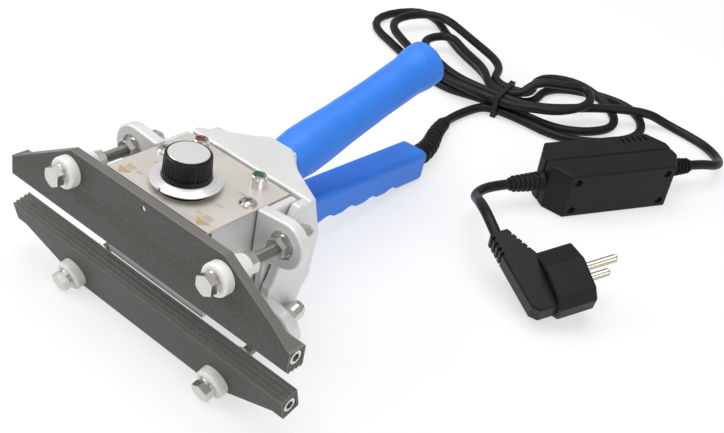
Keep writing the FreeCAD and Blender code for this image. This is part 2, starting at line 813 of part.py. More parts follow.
clip_start = cheek_inner - clip_gap - clip_thickness
pin_half = pin_run_half - 0.3
hinge_pin = rod("hinge_pin", pin_radius, pin_half * 2, at(-pin_half, hinge.y, hinge.z), X_AXIS)
tool_piece("hinge_pin", hinge_pin)
clip = ring("pin_clip", pin_radius + 0.02, pin_radius + 2.6, clip_start, clip_thickness)
clip.Placement = Placement(hinge, Rotation(Vector(0, 1, 0), X_AXIS))
tool_piece("pin_clips", both_sides("pin_clips", [clip]))


def arc_middle(start, heading, end):
    """The middle of the arc that leaves start along a heading and arrives at end, or None in a line."""
    chord = end - start
    across = chord - heading * chord.dot(heading)
    if across.Length < 1e-6 * chord.Length:
        return None
    radius = chord.dot(chord) / (2 * across.Length)
    centre = start + across.normalize() * radius
    middle = (start - centre) + (end - centre)
    return centre + middle.normalize() * radius


def arc_edge(start, middle, end):
    """An edge through three points, or a straight one where there is no middle."""
    if middle is None:
        return Part.LineSegment(start, end).toShape()
    return Part.Arc(start, middle, end).toShape()


def biarc(start, heading, end, final):
    """Two tangent arcs between two points with given directions."""
    chord = end - start
    both = heading + final
    along = chord.dot(both)
    spread = 2 * (1 - heading.dot(final))
    if spread < 1e-9:
        reach = chord.dot(chord) / (4 * chord.dot(final))
    else:
        reach = (math.sqrt(along * along + spread * chord.dot(chord)) - along) / spread
    joint = (start + end + (heading - final) * reach) * 0.5
    return [
        arc_edge(start, arc_middle(start, heading, joint), joint),
        arc_edge(joint, arc_middle(end, final * -1, joint), end),
    ]


def pipe(edges, radius):
    """A round tube along a chain of edges that all run forward."""
    start = edges[0].valueAt(edges[0].FirstParameter)
    heading = edges[0].tangentAt(edges[0].FirstParameter)
    section = Part.Wire([Part.makeCircle(radius, start, heading)])
    shell = Part.BRepOffsetAPI.MakePipeShell(Part.Wire(edges))
    shell.add(section)
    shell.build()
    shell.makeSolid()
    return shell.shape()


def report_self_gap(name, edges, radius):
    """Print a winding's length and the least clear space between stretches that aren't neighbours."""
    wire = Part.Wire(edges)
    step = radius / 2
    count = int(wire.Length / step)
    points = wire.discretize(Number=count)
    spacing = wire.Length / (count - 1)
    apart = int(math.pi * 2.2 * radius / spacing) + 1
    least = min(
        points[i].distanceToPoint(points[j])
        for i in range(count)
        for j in range(i + apart, count)
        if abs(points[i].x - points[j].x) < 4 * radius and abs(points[i].y - points[j].y) < 4 * radius
    )
    tightest = min(edge.Curve.Radius for edge in edges if edge.Curve.TypeId == "Part::GeomCircle")
    print("%s: length %.1f, least gap to itself %.2f, tightest bend %.1f"
          % (name, wire.Length, least - 2 * radius, tightest))


# Return spring: a torsion coil round the pin, one leg on the fixed web and one under the shoulder

spring_wire = driving("spring_wire_radius", 1)
spring_coil = driving("spring_coil_radius", 6.2)
spring_turns = 6
spring_half = driving("spring_half_length", 12)
doc.recompute()
spring_rest = 0.4


def return_spring():
    coil = float(spring_coil)
    total = 360 * spring_turns - 90
    steps = total // 90
    half = float(spring_half)

    def on_coil(step):
        angle = math.radians(90 + 90 * step)
        x = -half + 2 * half * step / steps
        point = Vector(x, hinge.y + coil * math.cos(angle), hinge.z + coil * math.sin(angle))
        rise = 2 * half / math.radians(total)
        heading = Vector(rise, -coil * math.sin(angle), coil * math.cos(angle))
        return point, heading.normalize()

    spots = [on_coil(step) for step in range(steps + 1)]
    web_end = spots[0][0] - spots[0][1] * (float(web_front) - hinge.y - spring_rest - 0.2)
    reach = float(shoulder_low) - spring_rest - spots[-1][0].z
    plate_end = spots[-1][0] + spots[-1][1] * reach
    edges = [Part.LineSegment(web_end, spots[0][0]).toShape()]
    for (a, heading_a), (b, heading_b) in zip(spots, spots[1:]):
        edges += biarc(a, heading_a, b, heading_b)
    edges.append(Part.LineSegment(spots[-1][0], plate_end).toShape())
    report_self_gap("return_spring", edges, float(spring_wire))
    return pipe(edges, float(spring_wire))


spring = doc.addObject("Part::Feature", "return_spring")
spring.Shape = return_spring()
tool_piece("return_spring", spring)

# Control box: a folded stainless tray between the cheeks, closed by the plate with dial and lamps

box_outer = block(
    "box_outer",
    (-box_half, box_front, box_floor),
    (box_half, box_rear, plate_top - plate_thickness),
)
box_inner = block(
    "box_inner",
    (-box_half + box_wall, box_front + box_wall, box_floor + box_wall),
    (box_half - box_wall, box_rear - box_wall, plate_top),
)
lug_width = 8
lug_depth = 8
lug_drop = 10
lug = block(
    "screw_lug",
    (box_half - box_wall - lug_width, screw_back - lug_depth / 2, plate_top - plate_thickness - lug_drop),
    (box_half - box_wall / 2, screw_back + lug_depth / 2, plate_top - plate_thickness),
)
up = Vector(0, 0, 1)
lug_hole_start = at(screw_spread, screw_back, plate_top - lug_drop)
lug_hole = rod("lug_hole", screw_radius + thread_clearance, lug_drop * 2, lug_hole_start, up)
shaft_hole_radius = shaft_radius + 3
tray = cut("tray", box_outer, [box_inner])
tray_with_lugs = fuse("tray_with_lugs", [tray, lug, mirrored(lug)])
tool_piece("control_box", cut("control_box", tray_with_lugs, [lug_hole, mirrored(lug_hole)]))

plate_low = plate_top - plate_thickness
plate_blank = block(
    "plate_blank",
    (-plate_half, plate_front, plate_low),
    (plate_half, plate_rear, plate_top),
)
plate_holes = [rod("dial_hole", shaft_hole_radius, 6, at(0, dial_back, plate_low - 2), up)]
for name, spread, back, radius in (
    ("lamp_hole", lamp_spread, lamp_back, lens_radius + thread_clearance),
    ("plate_screw_hole", screw_spread, screw_back, screw_radius + hole_clearance),
):
    hole = rod(name, radius, 6, at(spread, back, plate_low - 2), up)
    plate_holes += [hole, mirrored(hole)]
tool_piece("top_plate", cut("top_plate", plate_blank, plate_holes))


def standing(piece, x, y, z):
    """Put a piece that was turned about Z at its place on the plate."""
    piece.Placement = Placement(at(x, y, z), UNTURNED)
    return piece


screw_blank = turned("screw_blank", [
    (0, -9),
    (screw_radius, -9),
    (screw_radius, 0),
    (screw_head_radius, 0),
    (screw_head_radius * 0.97, screw_head_height * 0.45),
    (screw_head_radius * 0.75, screw_head_height * 0.85),
    (screw_head_radius * 0.35, screw_head_height),
    (0, screw_head_height),
], "XZ_Plane")
slot_half = screw_head_radius * 0.55
slot_width = 0.45
slot_floor = screw_head_height * 0.35
slot_open = screw_head_height + 1
slots = [
    block("screw_slot_x", (-slot_half, -slot_width, slot_floor), (slot_half, slot_width, slot_open)),
    block("screw_slot_y", (-slot_width, -slot_half, slot_floor), (slot_width, slot_half, slot_open)),
]
plate_screw = standing(cut("plate_screw", screw_blank, slots), screw_spread, screw_back, plate_top)
tool_piece("plate_screws", both_sides("plate_screws", [plate_screw]))

bezel = turned("lamp_bezel", [
    (lens_radius + thread_clearance, 0),
    (lamp_base_radius, 0),
    (lamp_base_radius, 0.8),
    (lamp_top_radius + 0.25, lamp_height - 0.5),
    (lamp_top_radius - 0.15, lamp_height),
    (lens_radius + thread_clearance, lamp_height),
], "XZ_Plane")
tool_piece("lamp_bezels", both_sides("lamp_bezels", [standing(bezel, lamp_spread, lamp_back, plate_top)]))


def lens(name, x):
    body = turned(name, [
        (0, -plate_thickness),
        (lens_radius, -plate_thickness),
        (lens_radius, lamp_height - 0.7),
        (lens_radius * 0.6, lamp_height - 0.25),
        (0, lamp_height - 0.15),
    ], "XZ_Plane")
    tool_piece(name, standing(body, x, lamp_back, plate_top))


lens("red_lens", -lamp_spread)
lens("green_lens", lamp_spread)

base_bore = shaft_hole_radius - 0.5
dial_base = turned("dial_base", [
    (base_bore, 0),
    (dial_base_radius, 0),
    (dial_base_radius, dial_base_height - 0.6),
    (dial_base_radius - 0.6, dial_base_height),
    (base_bore, dial_base_height),
], "XZ_Plane")
tool_piece("dial_base", standing(dial_base, 0, dial_back, plate_top))

thermostat_half = 15
thermostat_depth = 26
bush_radius = shaft_hole_radius - 0.6
thermostat_low = plate_low - thermostat_depth
thermostat_case = block(
    "thermostat_case",
    (-thermostat_half, dial_back - thermostat_half, thermostat_low),
    (thermostat_half, dial_back + thermostat_half, plate_low),
)
bush = rod("thermostat_bush", bush_radius, plate_thickness + 2.4, at(0, dial_back, plate_low), up)
shaft_depth = 12
shaft_bore_start = at(0, dial_back, plate_low - shaft_depth)
shaft_bore = rod("shaft_bore", shaft_radius + pin_play, shaft_depth * 3, shaft_bore_start, up)
thermostat_blank = fuse("thermostat_blank", [thermostat_case, bush])
tool_piece("thermostat", cut("thermostat", thermostat_blank, [shaft_bore]))

# Dial: a fluted knob with a disc on top, on a bevelled metal skirt, all on the thermostat's shaft

skirt_low = plate_top + dial_base_height + skirt_gap
skirt_top = skirt_low + skirt_height
knob_low = skirt_top
bore_in_knob = shaft_radius + 0.02
skirt_blank = turned("skirt_blank", [
    (bore_in_knob, 0),
    (skirt_radius - 0.5, 0),
    (skirt_radius, 0.4),
    (skirt_radius, skirt_rim),
    (knob_radius + 1, skirt_height),
    (bore_in_knob, skirt_height),
], "XZ_Plane")
notch = rod("skirt_notch", 1.2, skirt_height * 2, at(0, -skirt_radius, -1), up)
tool_piece("dial_skirt", standing(cut("dial_skirt", skirt_blank, [notch]), 0, dial_back, skirt_low))

cap_sink = 0.5
cap_height = 0.8
knob_blank = turned("knob_blank", [
    (bore_in_knob, 0),
    (knob_radius + 0.5, 0),
    (knob_radius, 2),
    (knob_radius - 0.5, knob_height - 0.8),
    (knob_radius - 1.2, knob_height),
    (knob_cap_radius + thread_clearance, knob_height),
    (knob_cap_radius + thread_clearance, knob_height - cap_sink),
    (0, knob_height - cap_sink),
    (0, knob_height - 4),
    (bore_in_knob, knob_height - 4),
], "XZ_Plane")
flutes = []
for i in range(flute_count):
    angle = 2 * math.pi * i / flute_count
    reach = knob_radius + 0.1
    spot = at(reach * math.cos(angle), reach * math.sin(angle), 2.4)
    flutes.append(rod("flute_%d" % i, flute_radius, knob_height, spot, up))
knob = cut("knob", knob_blank, flutes)
tool_piece("knob", standing(knob, 0, dial_back, knob_low))
knob_cap = turned("knob_cap", [
    (0, 0),
    (knob_cap_radius, 0),
    (knob_cap_radius, cap_height - 0.3),
    (knob_cap_radius - 0.3, cap_height),
    (0, cap_height),
], "XZ_Plane")
tool_piece("knob_cap", standing(knob_cap, 0, dial_back, knob_low + knob_height - cap_sink))
shaft_top = knob_low + knob_height - 4
shaft_low = plate_low - shaft_depth + 0.5
dial_shaft = rod("dial_shaft", shaft_radius, shaft_top - shaft_low, at(0, dial_back, shaft_low), up)
tool_piece("dial_shaft", dial_shaft)

# Grips: soft sleeves over the two tangs

upper_profile = [
    (0, 0),
    (upper_grip_radius - 1.2, 0),
    (upper_grip_radius + 0.6, 6),
    (upper_grip_radius + 1.4, 14),
    (upper_grip_radius + 1.2, 26),
    (upper_grip_radius + 0.3, upper_grip_length * 0.35),
    (upper_grip_radius - 0.2, upper_grip_length * 0.6),
    (upper_grip_radius + 0.2, upper_grip_length - 22),
    (upper_grip_flare, upper_grip_length - 12),
    (upper_grip_flare, upper_grip_length - 4),
    (upper_grip_flare - 4, upper_grip_length),
    (0, upper_grip_length),
]
upper_sleeve = turned("upper_sleeve", upper_profile)
upper_axis = handle_axis(upper_grip_start, upper_grip_height, upper_grip_slope)
upper_sleeve.Placement = upper_axis
upper_socket = tang(
    "upper_socket", upper_grip_start, upper_grip_height, upper_grip_slope,
    -20, upper_tang_reach + 20.1, tang_width + tang_play * 2, tang_height + tang_play * 2,
)
gusset_room = prism("gusset_room", "YZ_Plane", gusset_line, -10 - tang_play, 20 + 2 * float(tang_play))
tool_piece("upper_grip", cut("upper_grip", upper_sleeve, [upper_socket, gusset_room]))

half_width = lower_grip_width / 2
lower_outline = [
    (-half_width, -lower_grip_fall),
    (half_width, -lower_grip_fall),
    (half_width, lower_grip_rise),
    (-half_width, lower_grip_rise),
]
lower_sleeve = prism("lower_sleeve", "XZ_Plane", lower_outline, 0, lower_grip_length, grip_round)
lower_axis = handle_axis(lower_grip_start, lower_grip_height, lower_grip_slope)
lower_sleeve.Placement = lower_axis
scallop_half = finger_pitch.value / 2 - 2
scallop_radius = (scallop_half ** 2 + finger_depth.value ** 2) / (2 * finger_depth.value)
lower_cuts = [tang(
    "lower_socket", lower_grip_start, lower_grip_height, lower_grip_slope,
    -20, lower_tang_reach + 20.1, tang_width + tang_play * 2, tang_height + tang_play * 2,
)]
for i in range(finger_count):
    along = lower_grip_length.value - 24 - finger_pitch.value * (i + 0.5)
    down = -lower_grip_fall.value - scallop_radius + finger_depth.value
    scallop_start = at(-lower_grip_width, along, down)
    scallop = rod("finger_%d" % i, scallop_radius, lower_grip_width * 2, scallop_start, X_AXIS)
    scallop.Placement = lower_axis * scallop.Placement
    lower_cuts.append(scallop)
tool_piece("lower_grip", cut("lower_grip", lower_sleeve, lower_cuts))

doc.recompute()


def check_document():
    """Stop if any object failed or any sub-part has no sound shape."""
    for thing in doc.Objects:
        if {"Invalid", "Error"} & set(thing.State):
            raise RuntimeError("%s did not compute: %s" % (thing.Label, thing.State))
    for piece, _ in tool_pieces + lead_pieces:
        if piece.Shape.isNull() or not piece.Shape.isValid():
            raise RuntimeError("%s has no valid shape" % piece.Label)


check_document()

# Lay the tool on the table: tilt it until the grip's rear edge is as low as the front insulators

heel = lower_axis.multVec(at(0, lower_grip_length - grip_round, -lower_grip_fall))
toe_local = at(0, -front_insulator + 1.6, lower_bolt_height - insulator_radius)
toe = opening.multVec(toe_local)
pitch = math.degrees(math.atan2(heel.z - toe.z, heel.y - toe.y))
tilt = Placement(Vector(), Rotation(X_AXIS, -pitch))
boxes = []
for piece, pose in tool_pieces:
    shape = piece.Shape.copy()
    shape.Placement = tilt * pose * shape.Placement
    boxes.append(shape.optimalBoundingBox(False))
low_y = min(box.YMin for box in boxes)
high_y = max(box.YMax for box in boxes)
low_z = min(box.ZMin for box in boxes)
laid = Placement(Vector(0, -(low_y + high_y) / 2, -low_z), UNTURNED) * tilt
for piece, pose in tool_pieces:
    piece.Placement = laid * pose * piece.Placement
doc.recompute()
check_document()

# Mains lead: everything from here on is built where it lies on the table

cord_diameter = driving("cord_diameter", 6.5)
boot_root_radius = driving("boot_root_radius", 7.2)
boot_tip_radius = driving("boot_tip_radius", 4.8)
boot_ribs = 9
rib_step = driving("rib_step", 0.9)
relief_root_radius = driving("relief_root_radius", 6.6)
relief_tip_radius = driving("relief_tip_radius", 5.2)
relief_ribs = 6
lead_box_length = driving("lead_box_length", 94)
lead_box_face = driving("lead_box_face", 77)
lead_box_width = driving("lead_box_width", 40)
lead_box_height = driving("lead_box_height", 32)
lead_box_wall = driving("lead_box_wall", 2)
lead_box_round = driving("lead_box_round", 1.6)
relief_in_length = driving("relief_in_length", 19)
relief_out_length = driving("relief_out_length", 23)
pin_length = driving("pin_length", 19)
plug_pin_diameter = driving("plug_pin_diameter", 4.8)
pin_spacing = driving("pin_spacing", 19)
doc.recompute()
cord_radius = cord_diameter / 2


def lead_piece(label, piece, pose=None):
    """Register a finished piece of the mains lead, with its pose on the table."""
    piece.Label = label
    lead_pieces.append((piece, pose or Placement()))
    return piece


def feature(name, shape):
    piece = doc.addObject("Part::Feature", name)
    piece.Shape = shape
    return piece


def ribbed(centres, headings, radii):
    """A ruled loft through circles that all keep the same sideways axis."""
    sections = []
    for centre, heading, radius in zip(centres, headings, radii):
        sideways = Vector(heading.y, -heading.x, 0).normalize()
        circle = Part.Circle(centre, heading, radius)
        circle.XAxis = sideways
        sections.append(Part.Wire([circle.toShape()]))
    return Part.makeLoft(sections, True, True)


def rib_profile(count, root, tip, step):
    """Shares of the length and radii of a tapering run of ribs: four circles make each rib."""
    shares = [0.0]
    radii = [float(root)]
    first = 0.12
    for i in range(count):
        here = first + (0.97 - first) * i / count
        pitch = (0.97 - first) / count
        size = float(root) + (float(tip) - float(root)) * (i + 0.5) / count
        shares += [here + pitch * 0.08, here + pitch * 0.16, here + pitch * 0.44, here + pitch * 0.52]
        radii += [size - float(step), size, size, size - float(step)]
    return shares + [1.0], radii + [float(tip) - float(step)]


def tube_with_bends(name, points):
    """A cord along straight runs joined by tangent arcs as large as their runs allow."""
    edges = []
    bends = []
    start = points[0]
    for before, corner, after in zip(points, points[1:], points[2:]):
        back = before - corner
        on = after - corner
        shorter = min(back.Length, on.Length)
        turn = math.pi - back.getAngle(on)
        inset = 0.45 * shorter
        bends.append(inset / math.tan(turn / 2))
        first = corner + back.normalize() * inset
        last = corner + on.normalize() * inset
        edges.append(Part.LineSegment(start, first).toShape())
        edges.append(arc_edge(first, arc_middle(first, back * -1, last), last))
        start = last
    edges.append(Part.LineSegment(start, points[-1]).toShape())
    shape = pipe(edges, float(cord_radius))
    length = sum(edge.Length for edge in edges)
    expected = math.pi * float(cord_radius) ** 2 * length
    print("%s: length %.1f, bend radii %s" % (name, length, [round(bend, 1) for bend in bends]))
    print("%s: volume is %.5f of section times length" % (name, shape.Volume / expected))
    return shape


def coil_of(name, spots, radius):
    """One unbroken tube through points with headings; its least gap to itself is printed."""
    edges = []
    for (a, heading_a), (b, heading_b) in zip(spots, spots[1:]):
        edges += biarc(a, heading_a, b, heading_b)
    report_self_gap(name, edges, radius)
    shape = pipe(edges, radius)
    length = sum(edge.Length for edge in edges)
    share = shape.Volume / (math.pi * radius ** 2 * length)
    print("%s: volume is %.5f of section times length" % (name, share))
    return shape


def flat(angle):
    return Vector(math.cos(math.radians(angle)), math.sin(math.radians(angle)), 0)


# Hank: three loops tied at a waist, which lie in two layers with the last small loop on top

tie_at = Vector(-6, 236, 0)
waist_angle = 10
right_angle = 38
left_angle = 159
strand_pitch = 7.4
tie_thickness = 1
tie_clearance = 0.3
lobe_low = float(cord_radius) + 0.2
lobe_high = lobe_low + strand_pitch + 0.6
lobe_top = lobe_high + strand_pitch + 1
waist_low = float(cord_radius) + tie_thickness + tie_clearance + 0.1
waist_high = waist_low + strand_pitch
inner_strand = strand_pitch / 2
outer_strand = strand_pitch * 1.5
along_waist = flat(waist_angle)
across_waist = flat(waist_angle + 90)


def waist_spot(offset, height, rightwards):
    point = tie_at + across_waist * offset + Vector(0, 0, height)
    return point, along_waist if rightwards else along_waist * -1


def lobe_spots(angle, reach, first_flank, last_flank, heights):
    """Three spots of a lobe: its first flank, its tip and its second flank, with their headings."""
    out = flat(angle)
    aside = flat(angle + 90)
    first_along, first_half = first_flank
    last_along, last_half = last_flank
    first_height, tip_height, last_height = heights
    first = tie_at + out * first_along - aside * first_half + Vector(0, 0, first_height)
    tip = tie_at + out * reach + Vector(0, 0, tip_height)
    last = tie_at + out * last_along + aside * last_half + Vector(0, 0, last_height)
    return [(first, out), (tip, aside), (last, out * -1)]


all_low = (lobe_low, lobe_low, lobe_low)
all_high = (lobe_high, lobe_high, lobe_high)
climbing = (lobe_low, lobe_low + 0.5, lobe_high)
on_top = (lobe_high + 4.5, lobe_top, lobe_top + 2)
right_lobes = [
    (104, (55, 37), (56, 35), all_low),
    (84, (50, 24.5), (45, 35), climbing),
    (62, (27, 21.5), (32, 7.5), on_top),
]
left_lobes = [
    (152, (55, 15), (55, 32), all_low),
    (131, (53, 26), (56, 31.5), all_high),
    (93, (52, 9), (50, 20.5), all_high),
]
back_strands = [(outer_strand, waist_low), (outer_strand, waist_high), (inner_strand, waist_high)]
front_strands = [(-inner_strand, waist_low), (-outer_strand, waist_high), (-inner_strand, waist_high)]

entry_at = Vector(-18, 203.6, lobe_low)
entry_heading = flat(82)
exit_over = tie_at + flat(right_angle) * 98 + Vector(0, 0, lobe_high + 0.6)
exit_at = Vector(106, 312, lobe_low)
exit_heading = flat(-6)
hank_spots = [
    (entry_at, entry_heading),
    (entry_at + entry_heading * float(cord_diameter), entry_heading),
    waist_spot(-outer_strand, waist_low, True),
]
for right, left, back, front in zip(right_lobes, left_lobes, back_strands, front_strands):
    hank_spots += lobe_spots(right_angle, *right)
    hank_spots.append(waist_spot(*back, False))
    hank_spots += lobe_spots(left_angle, *left)
    hank_spots.append(waist_spot(*front, True))
hank_spots += [
    (exit_over, flat(right_angle + 2)),
    (exit_at - exit_heading * float(cord_diameter), exit_heading),
    (exit_at, exit_heading),
]
lead_piece("cord_hank", feature("cord_hank", coil_of("cord_hank", hank_spots, float(cord_radius))))

tie_half = outer_strand + float(cord_radius) + tie_clearance
tie_low = waist_low - float(cord_radius) - tie_clearance
tie_high = waist_high + float(cord_radius) + tie_clearance
tie_width = driving("tie_width", 4)
doc.recompute()
tie_outer = block(
    "tie_outer",
    (-tie_width / 2, -tie_half - tie_thickness, tie_low - tie_thickness),
    (tie_width / 2, tie_half + tie_thickness, tie_high + tie_thickness),
)
tie_inner = block("tie_inner", (-tie_width, -tie_half, tie_low), (tie_width, tie_half, tie_high))
tie_pose = Placement(tie_at, Rotation(Vector(0, 0, 1), waist_angle))
lead_piece("hank_tie", cut("hank_tie", tie_outer, [tie_inner]), tie_pose)

# Boot: a ribbed sleeve that bends from the lower grip's end down to the table

boot_root = laid.multVec(lower_axis.multVec(at(0, lower_grip_length, 0)))
boot_heading = laid.Rotation.multVec(lower_axis.Rotation.multVec(Vector(0, 1, 0)))
boot_tip = Vector(-17, 180, float(boot_tip_radius) + 0.6)
lead_corner = entry_at - entry_heading * 12
boot_tip_heading = (lead_corner - boot_tip).normalize()
boot_edges = biarc(boot_root, boot_heading, boot_tip, boot_tip_heading)


def along_edges(edges, share):
    """A point at a share of the length of a chain of edges, with the direction there."""
    distance = share * sum(edge.Length for edge in edges)
    for edge in edges:
        if distance <= edge.Length + 1e-6:
            break
        distance -= edge.Length
    parameter = edge.getParameterByLength(min(distance, edge.Length))
    return edge.valueAt(parameter), edge.tangentAt(parameter)


boot_shares, boot_radii = rib_profile(boot_ribs, boot_root_radius, boot_tip_radius, rib_step)
boot_places = [along_edges(boot_edges, share) for share in boot_shares]
boot_centres = [place for place, _ in boot_places]
boot_headings = [heading for _, heading in boot_places]
lead_piece("cord_boot", feature("cord_boot", ribbed(boot_centres, boot_headings, boot_radii)))

lead_points = [boot_tip, lead_corner, entry_at]
lead_piece("cord_lead", feature("cord_lead", tube_with_bends("cord_lead", lead_points)))

# In-line box: two shells on a standing parting plane, with a ribbed relief at each end

box_middle = Vector(99.4, 197.1, 0)
box_angle = 58.8
box_pose = Placement(box_middle, Rotation(Vector(0, 0, 1), box_angle))
box_axis = flat(box_angle)
half_long = lead_box_length / 2
half_face = lead_box_face / 2
half_wide = lead_box_width / 2
shell_gap = 0.05
relief_height = lead_box_height / 2
relief_seat = 6


def shell_outline(side, inset):
    """Plan of one half of the box, drawn in by an inset all round but open at the parting plane."""
    return [
        (-half_long + inset, side * shell_gap),
        (half_long - inset, side * shell_gap),
        (half_long - inset, side * (half_wide * 0.35)),
        (half_face - inset * 0.6, side * (half_wide - inset)),
        (-half_face + inset * 0.6, side * (half_wide - inset)),
        (-half_long + inset, side * (half_wide * 0.35)),
    ]


screw_in = 5.5
vent_count = 5
vent_first = driving("vent_first", 16)
vent_pitch = driving("vent_pitch", 4.4)
vent_width = driving("vent_width", 1.7)
vent_reach = driving("vent_reach", 9)
vent_drop = driving("vent_drop", 5)
box_screw_radius = driving("box_screw_radius", 1.5)
box_screw_head = driving("box_screw_head", 2.6)
box_screw_sink = driving("box_screw_sink", 3)
doc.recompute()
screw_spots = [
    (x_side * (half_face - screw_in), z)
    for x_side in (-1, 1)
    for z in (screw_in, lead_box_height - screw_in)
]
front_face = -half_wide
board_length = 56
board_height = 22
board_thickness = 1.6
post_radius = 3
post_reach = half_wide - lead_box_wall - 6
board_back = post_reach


def lead_shell(label, side, name):
    """One shell: a hollow half with corner posts for the screws and a round seat for each relief."""
    outline = shell_outline(side, 0)
    hollow_line = shell_outline(side, lead_box_wall)
    hollow_line[0] = (hollow_line[0][0], -side * 1.0)
    hollow_line[1] = (hollow_line[1][0], -side * 1.0)
    outer = prism(name + "_outer", "XY_Plane", outline, 0, lead_box_height, lead_box_round)
    hollow_height = lead_box_height - 2 * lead_box_wall
    inner = prism(name + "_inner", "XY_Plane", hollow_line, lead_box_wall, hollow_height)
    hollow = cut(name + "_hollow", outer, [inner])
    low = shell_gap if side > 0 else -half_wide + lead_box_wall / 2
    high = half_wide - lead_box_wall / 2 if side > 0 else Length.of(-shell_gap)
    posts = []
    holes = []
    for i, (x, z) in enumerate(screw_spots):
        post_start = at(x, low, z)
        posts.append(rod("%s_post_%d" % (name, i), post_radius, high - low, post_start, Vector(0, 1, 0)))
        if side < 0:
            head_floor = front_face + box_screw_sink + 2
            holes.append(rod("%s_head_%d" % (name, i), box_screw_head + 0.1, box_screw_sink + 12,
                             at(x, front_face - 10, z), Vector(0, 1, 0)))
            holes.append(rod("%s_shank_%d" % (name, i), box_screw_radius + 0.1, half_wide,
                             at(x, head_floor - 1, z), Vector(0, 1, 0)))
        else:
            thread_start = at(x, -1, z)
            thread_radius = box_screw_radius + 0.02
            holes.append(rod("%s_thread_%d" % (name, i), thread_radius, 12, thread_start, Vector(0, 1, 0)))
    if side > 0:
        for i, x in enumerate((-board_length / 2 + 6, board_length / 2 - 6)):
            reach = half_wide - lead_box_wall / 2 - board_back
            post_start = at(x, board_back, relief_height)
            posts.append(rod("%s_board_post_%d" % (name, i), 2.5, reach, post_start, Vector(0, 1, 0)))
        for i in range(vent_count):
            x = vent_first + vent_pitch * i
            holes.append(block(
                "%s_vent_%d" % (name, i),
                (x, half_wide - vent_reach, lead_box_height - vent_drop),
                (x + vent_width, half_wide + 1, lead_box_height + 1),
            ))
    seat = rod(name + "_seat", relief_root_radius + 0.02, lead_box_length * 2,
               at(-lead_box_length, 0, relief_height), X_AXIS)
    solid = fuse(name + "_solid", [hollow] + posts)
    lead_piece(label, cut(label, solid, holes + [seat]), box_pose)


lead_shell("box_front_shell", -1, "front_shell")
lead_shell("box_rear_shell", 1, "rear_shell")

screws = []
for i, (x, z) in enumerate(screw_spots):
    head_start = front_face + box_screw_sink
    screw = turned("box_screw_%d" % i, [
        (0, head_start),
        (box_screw_head, head_start),
        (box_screw_head, head_start + 2),
        (box_screw_radius, head_start + 2),
        (box_screw_radius, Length.of(10)),
        (0, Length.of(10)),
    ])
    screws.append(moved(screw, at(x, 0, z)))
lead_piece("box_screws", group("box_screws", screws), box_pose)

board = block(
    "board_plate",
    (-board_length / 2, board_back - board_thickness, relief_height - board_height / 2),
    (board_length / 2, board_back, relief_height + board_height / 2),
)
board_face = board_back - board_thickness
relay = block("board_relay", (-20, board_face - 9, relief_height - 8), (2, board_face, relief_height + 8))
capacitor_start = at(15, board_face - 10, relief_height)
capacitor = rod("board_capacitor", 5, 10, capacitor_start, Vector(0, 1, 0))
lead_piece("control_board", fuse("control_board", [board, relay, capacitor]), box_pose)


def relief(label, side, length):
    """A ribbed sleeve that leaves the box at one end, with its root held between the shells."""
    shares, radii = rib_profile(relief_ribs, relief_root_radius, relief_tip_radius, rib_step)
    direction = X_AXIS * side
    root = at(side * half_long, 0, relief_height)
    inside = root - direction * relief_seat
    centres = [inside] + [root + direction * share * float(length) for share in shares]
    shape = ribbed(centres, [direction] * len(centres), [radii[0]] + radii)
    lead_piece(label, feature(label, shape), box_pose)
    return box_pose.multVec(centres[-1])


feed_end = relief("box_relief_in", 1, relief_in_length)
tail_start = relief("box_relief_out", -1, relief_out_length)

feed_points = [
    exit_at,
    exit_at + exit_heading * 12,
    Vector(131, 304.5, 4.2),
    Vector(142.5, 291.5, 7),
    Vector(146, 275.5, 12.5),
    feed_end + box_axis * 10,
    feed_end,
]
lead_piece("cord_feed", feature("cord_feed", tube_with_bends("cord_feed", feed_points)))

# Plug: a two-pin angled mains plug that lies on a corner of its head with the neck raised

pins_at = Vector(145, 86.4, 22.6)
pins_heading = Vector(0.53, 0.811, 0.249).normalize()
plug_up = Vector(-0.196, 0.402, -0.894).cross(pins_heading).normalize()
pins_apart = pins_heading.cross(plug_up)
plug_pose = Placement(pins_at, Rotation(pins_apart, pins_heading, plug_up, "XYZ"))
plug_head_depth = driving("plug_head_depth", 23)
plug_back_width = driving("plug_back_width", 15)
plug_neck_reach = driving("plug_neck_reach", 37)
doc.recompute()
plug_head_line = [
    (Length.of(-6), Length.of(-18)),
    (Length.of(6), Length.of(-18)),
    (Length.of(15), Length.of(-4)),
    (Length.of(13), Length.of(14)),
    (Length.of(6), Length.of(19)),
    (Length.of(-6), Length.of(19)),
    (Length.of(-13), Length.of(14)),
    (Length.of(-15), Length.of(-4)),
]
plug_head = prism("plug_head", "XZ_Plane", plug_head_line, -plug_head_depth, plug_head_depth, 1.4)
plug_back_line = [
    (Length.of(-21), Length.of(16)),
    (Length.of(-33), Length.of(16)),
    (Length.of(-37), Length.of(12)),
    (Length.of(-42.5), -plug_neck_reach),
    (Length.of(-31.5), -plug_neck_reach),
    (Length.of(-21), Length.of(-17)),
]
plug_back = prism("plug_back", "YZ_Plane", plug_back_line, -plug_back_width / 2, plug_back_width, 1.4)
slot_depth = 2
slot_height = 1.5
neck_slots = []
for i, height in enumerate((-22, -25.5, -29, -32.5)):
    rear_edge = -37 - 5.5 * (12 - height) / (12 + float(plug_neck_reach))
    front_edge = -21 - 10.5 * (-17 - height) / (float(plug_neck_reach) - 17)
    neck_slots.append(block(
        "neck_rear_slot_%d" % i,
        (-plug_back_width, Length.of(rear_edge - 6), Length.of(height - slot_height)),
        (plug_back_width, Length.of(rear_edge + slot_depth), Length.of(height)),
    ))
    neck_slots.append(block(
        "neck_front_slot_%d" % i,
        (-plug_back_width, Length.of(front_edge - slot_depth), Length.of(height - slot_height)),
        (plug_back_width, Length.of(front_edge + 6), Length.of(height)),
    ))
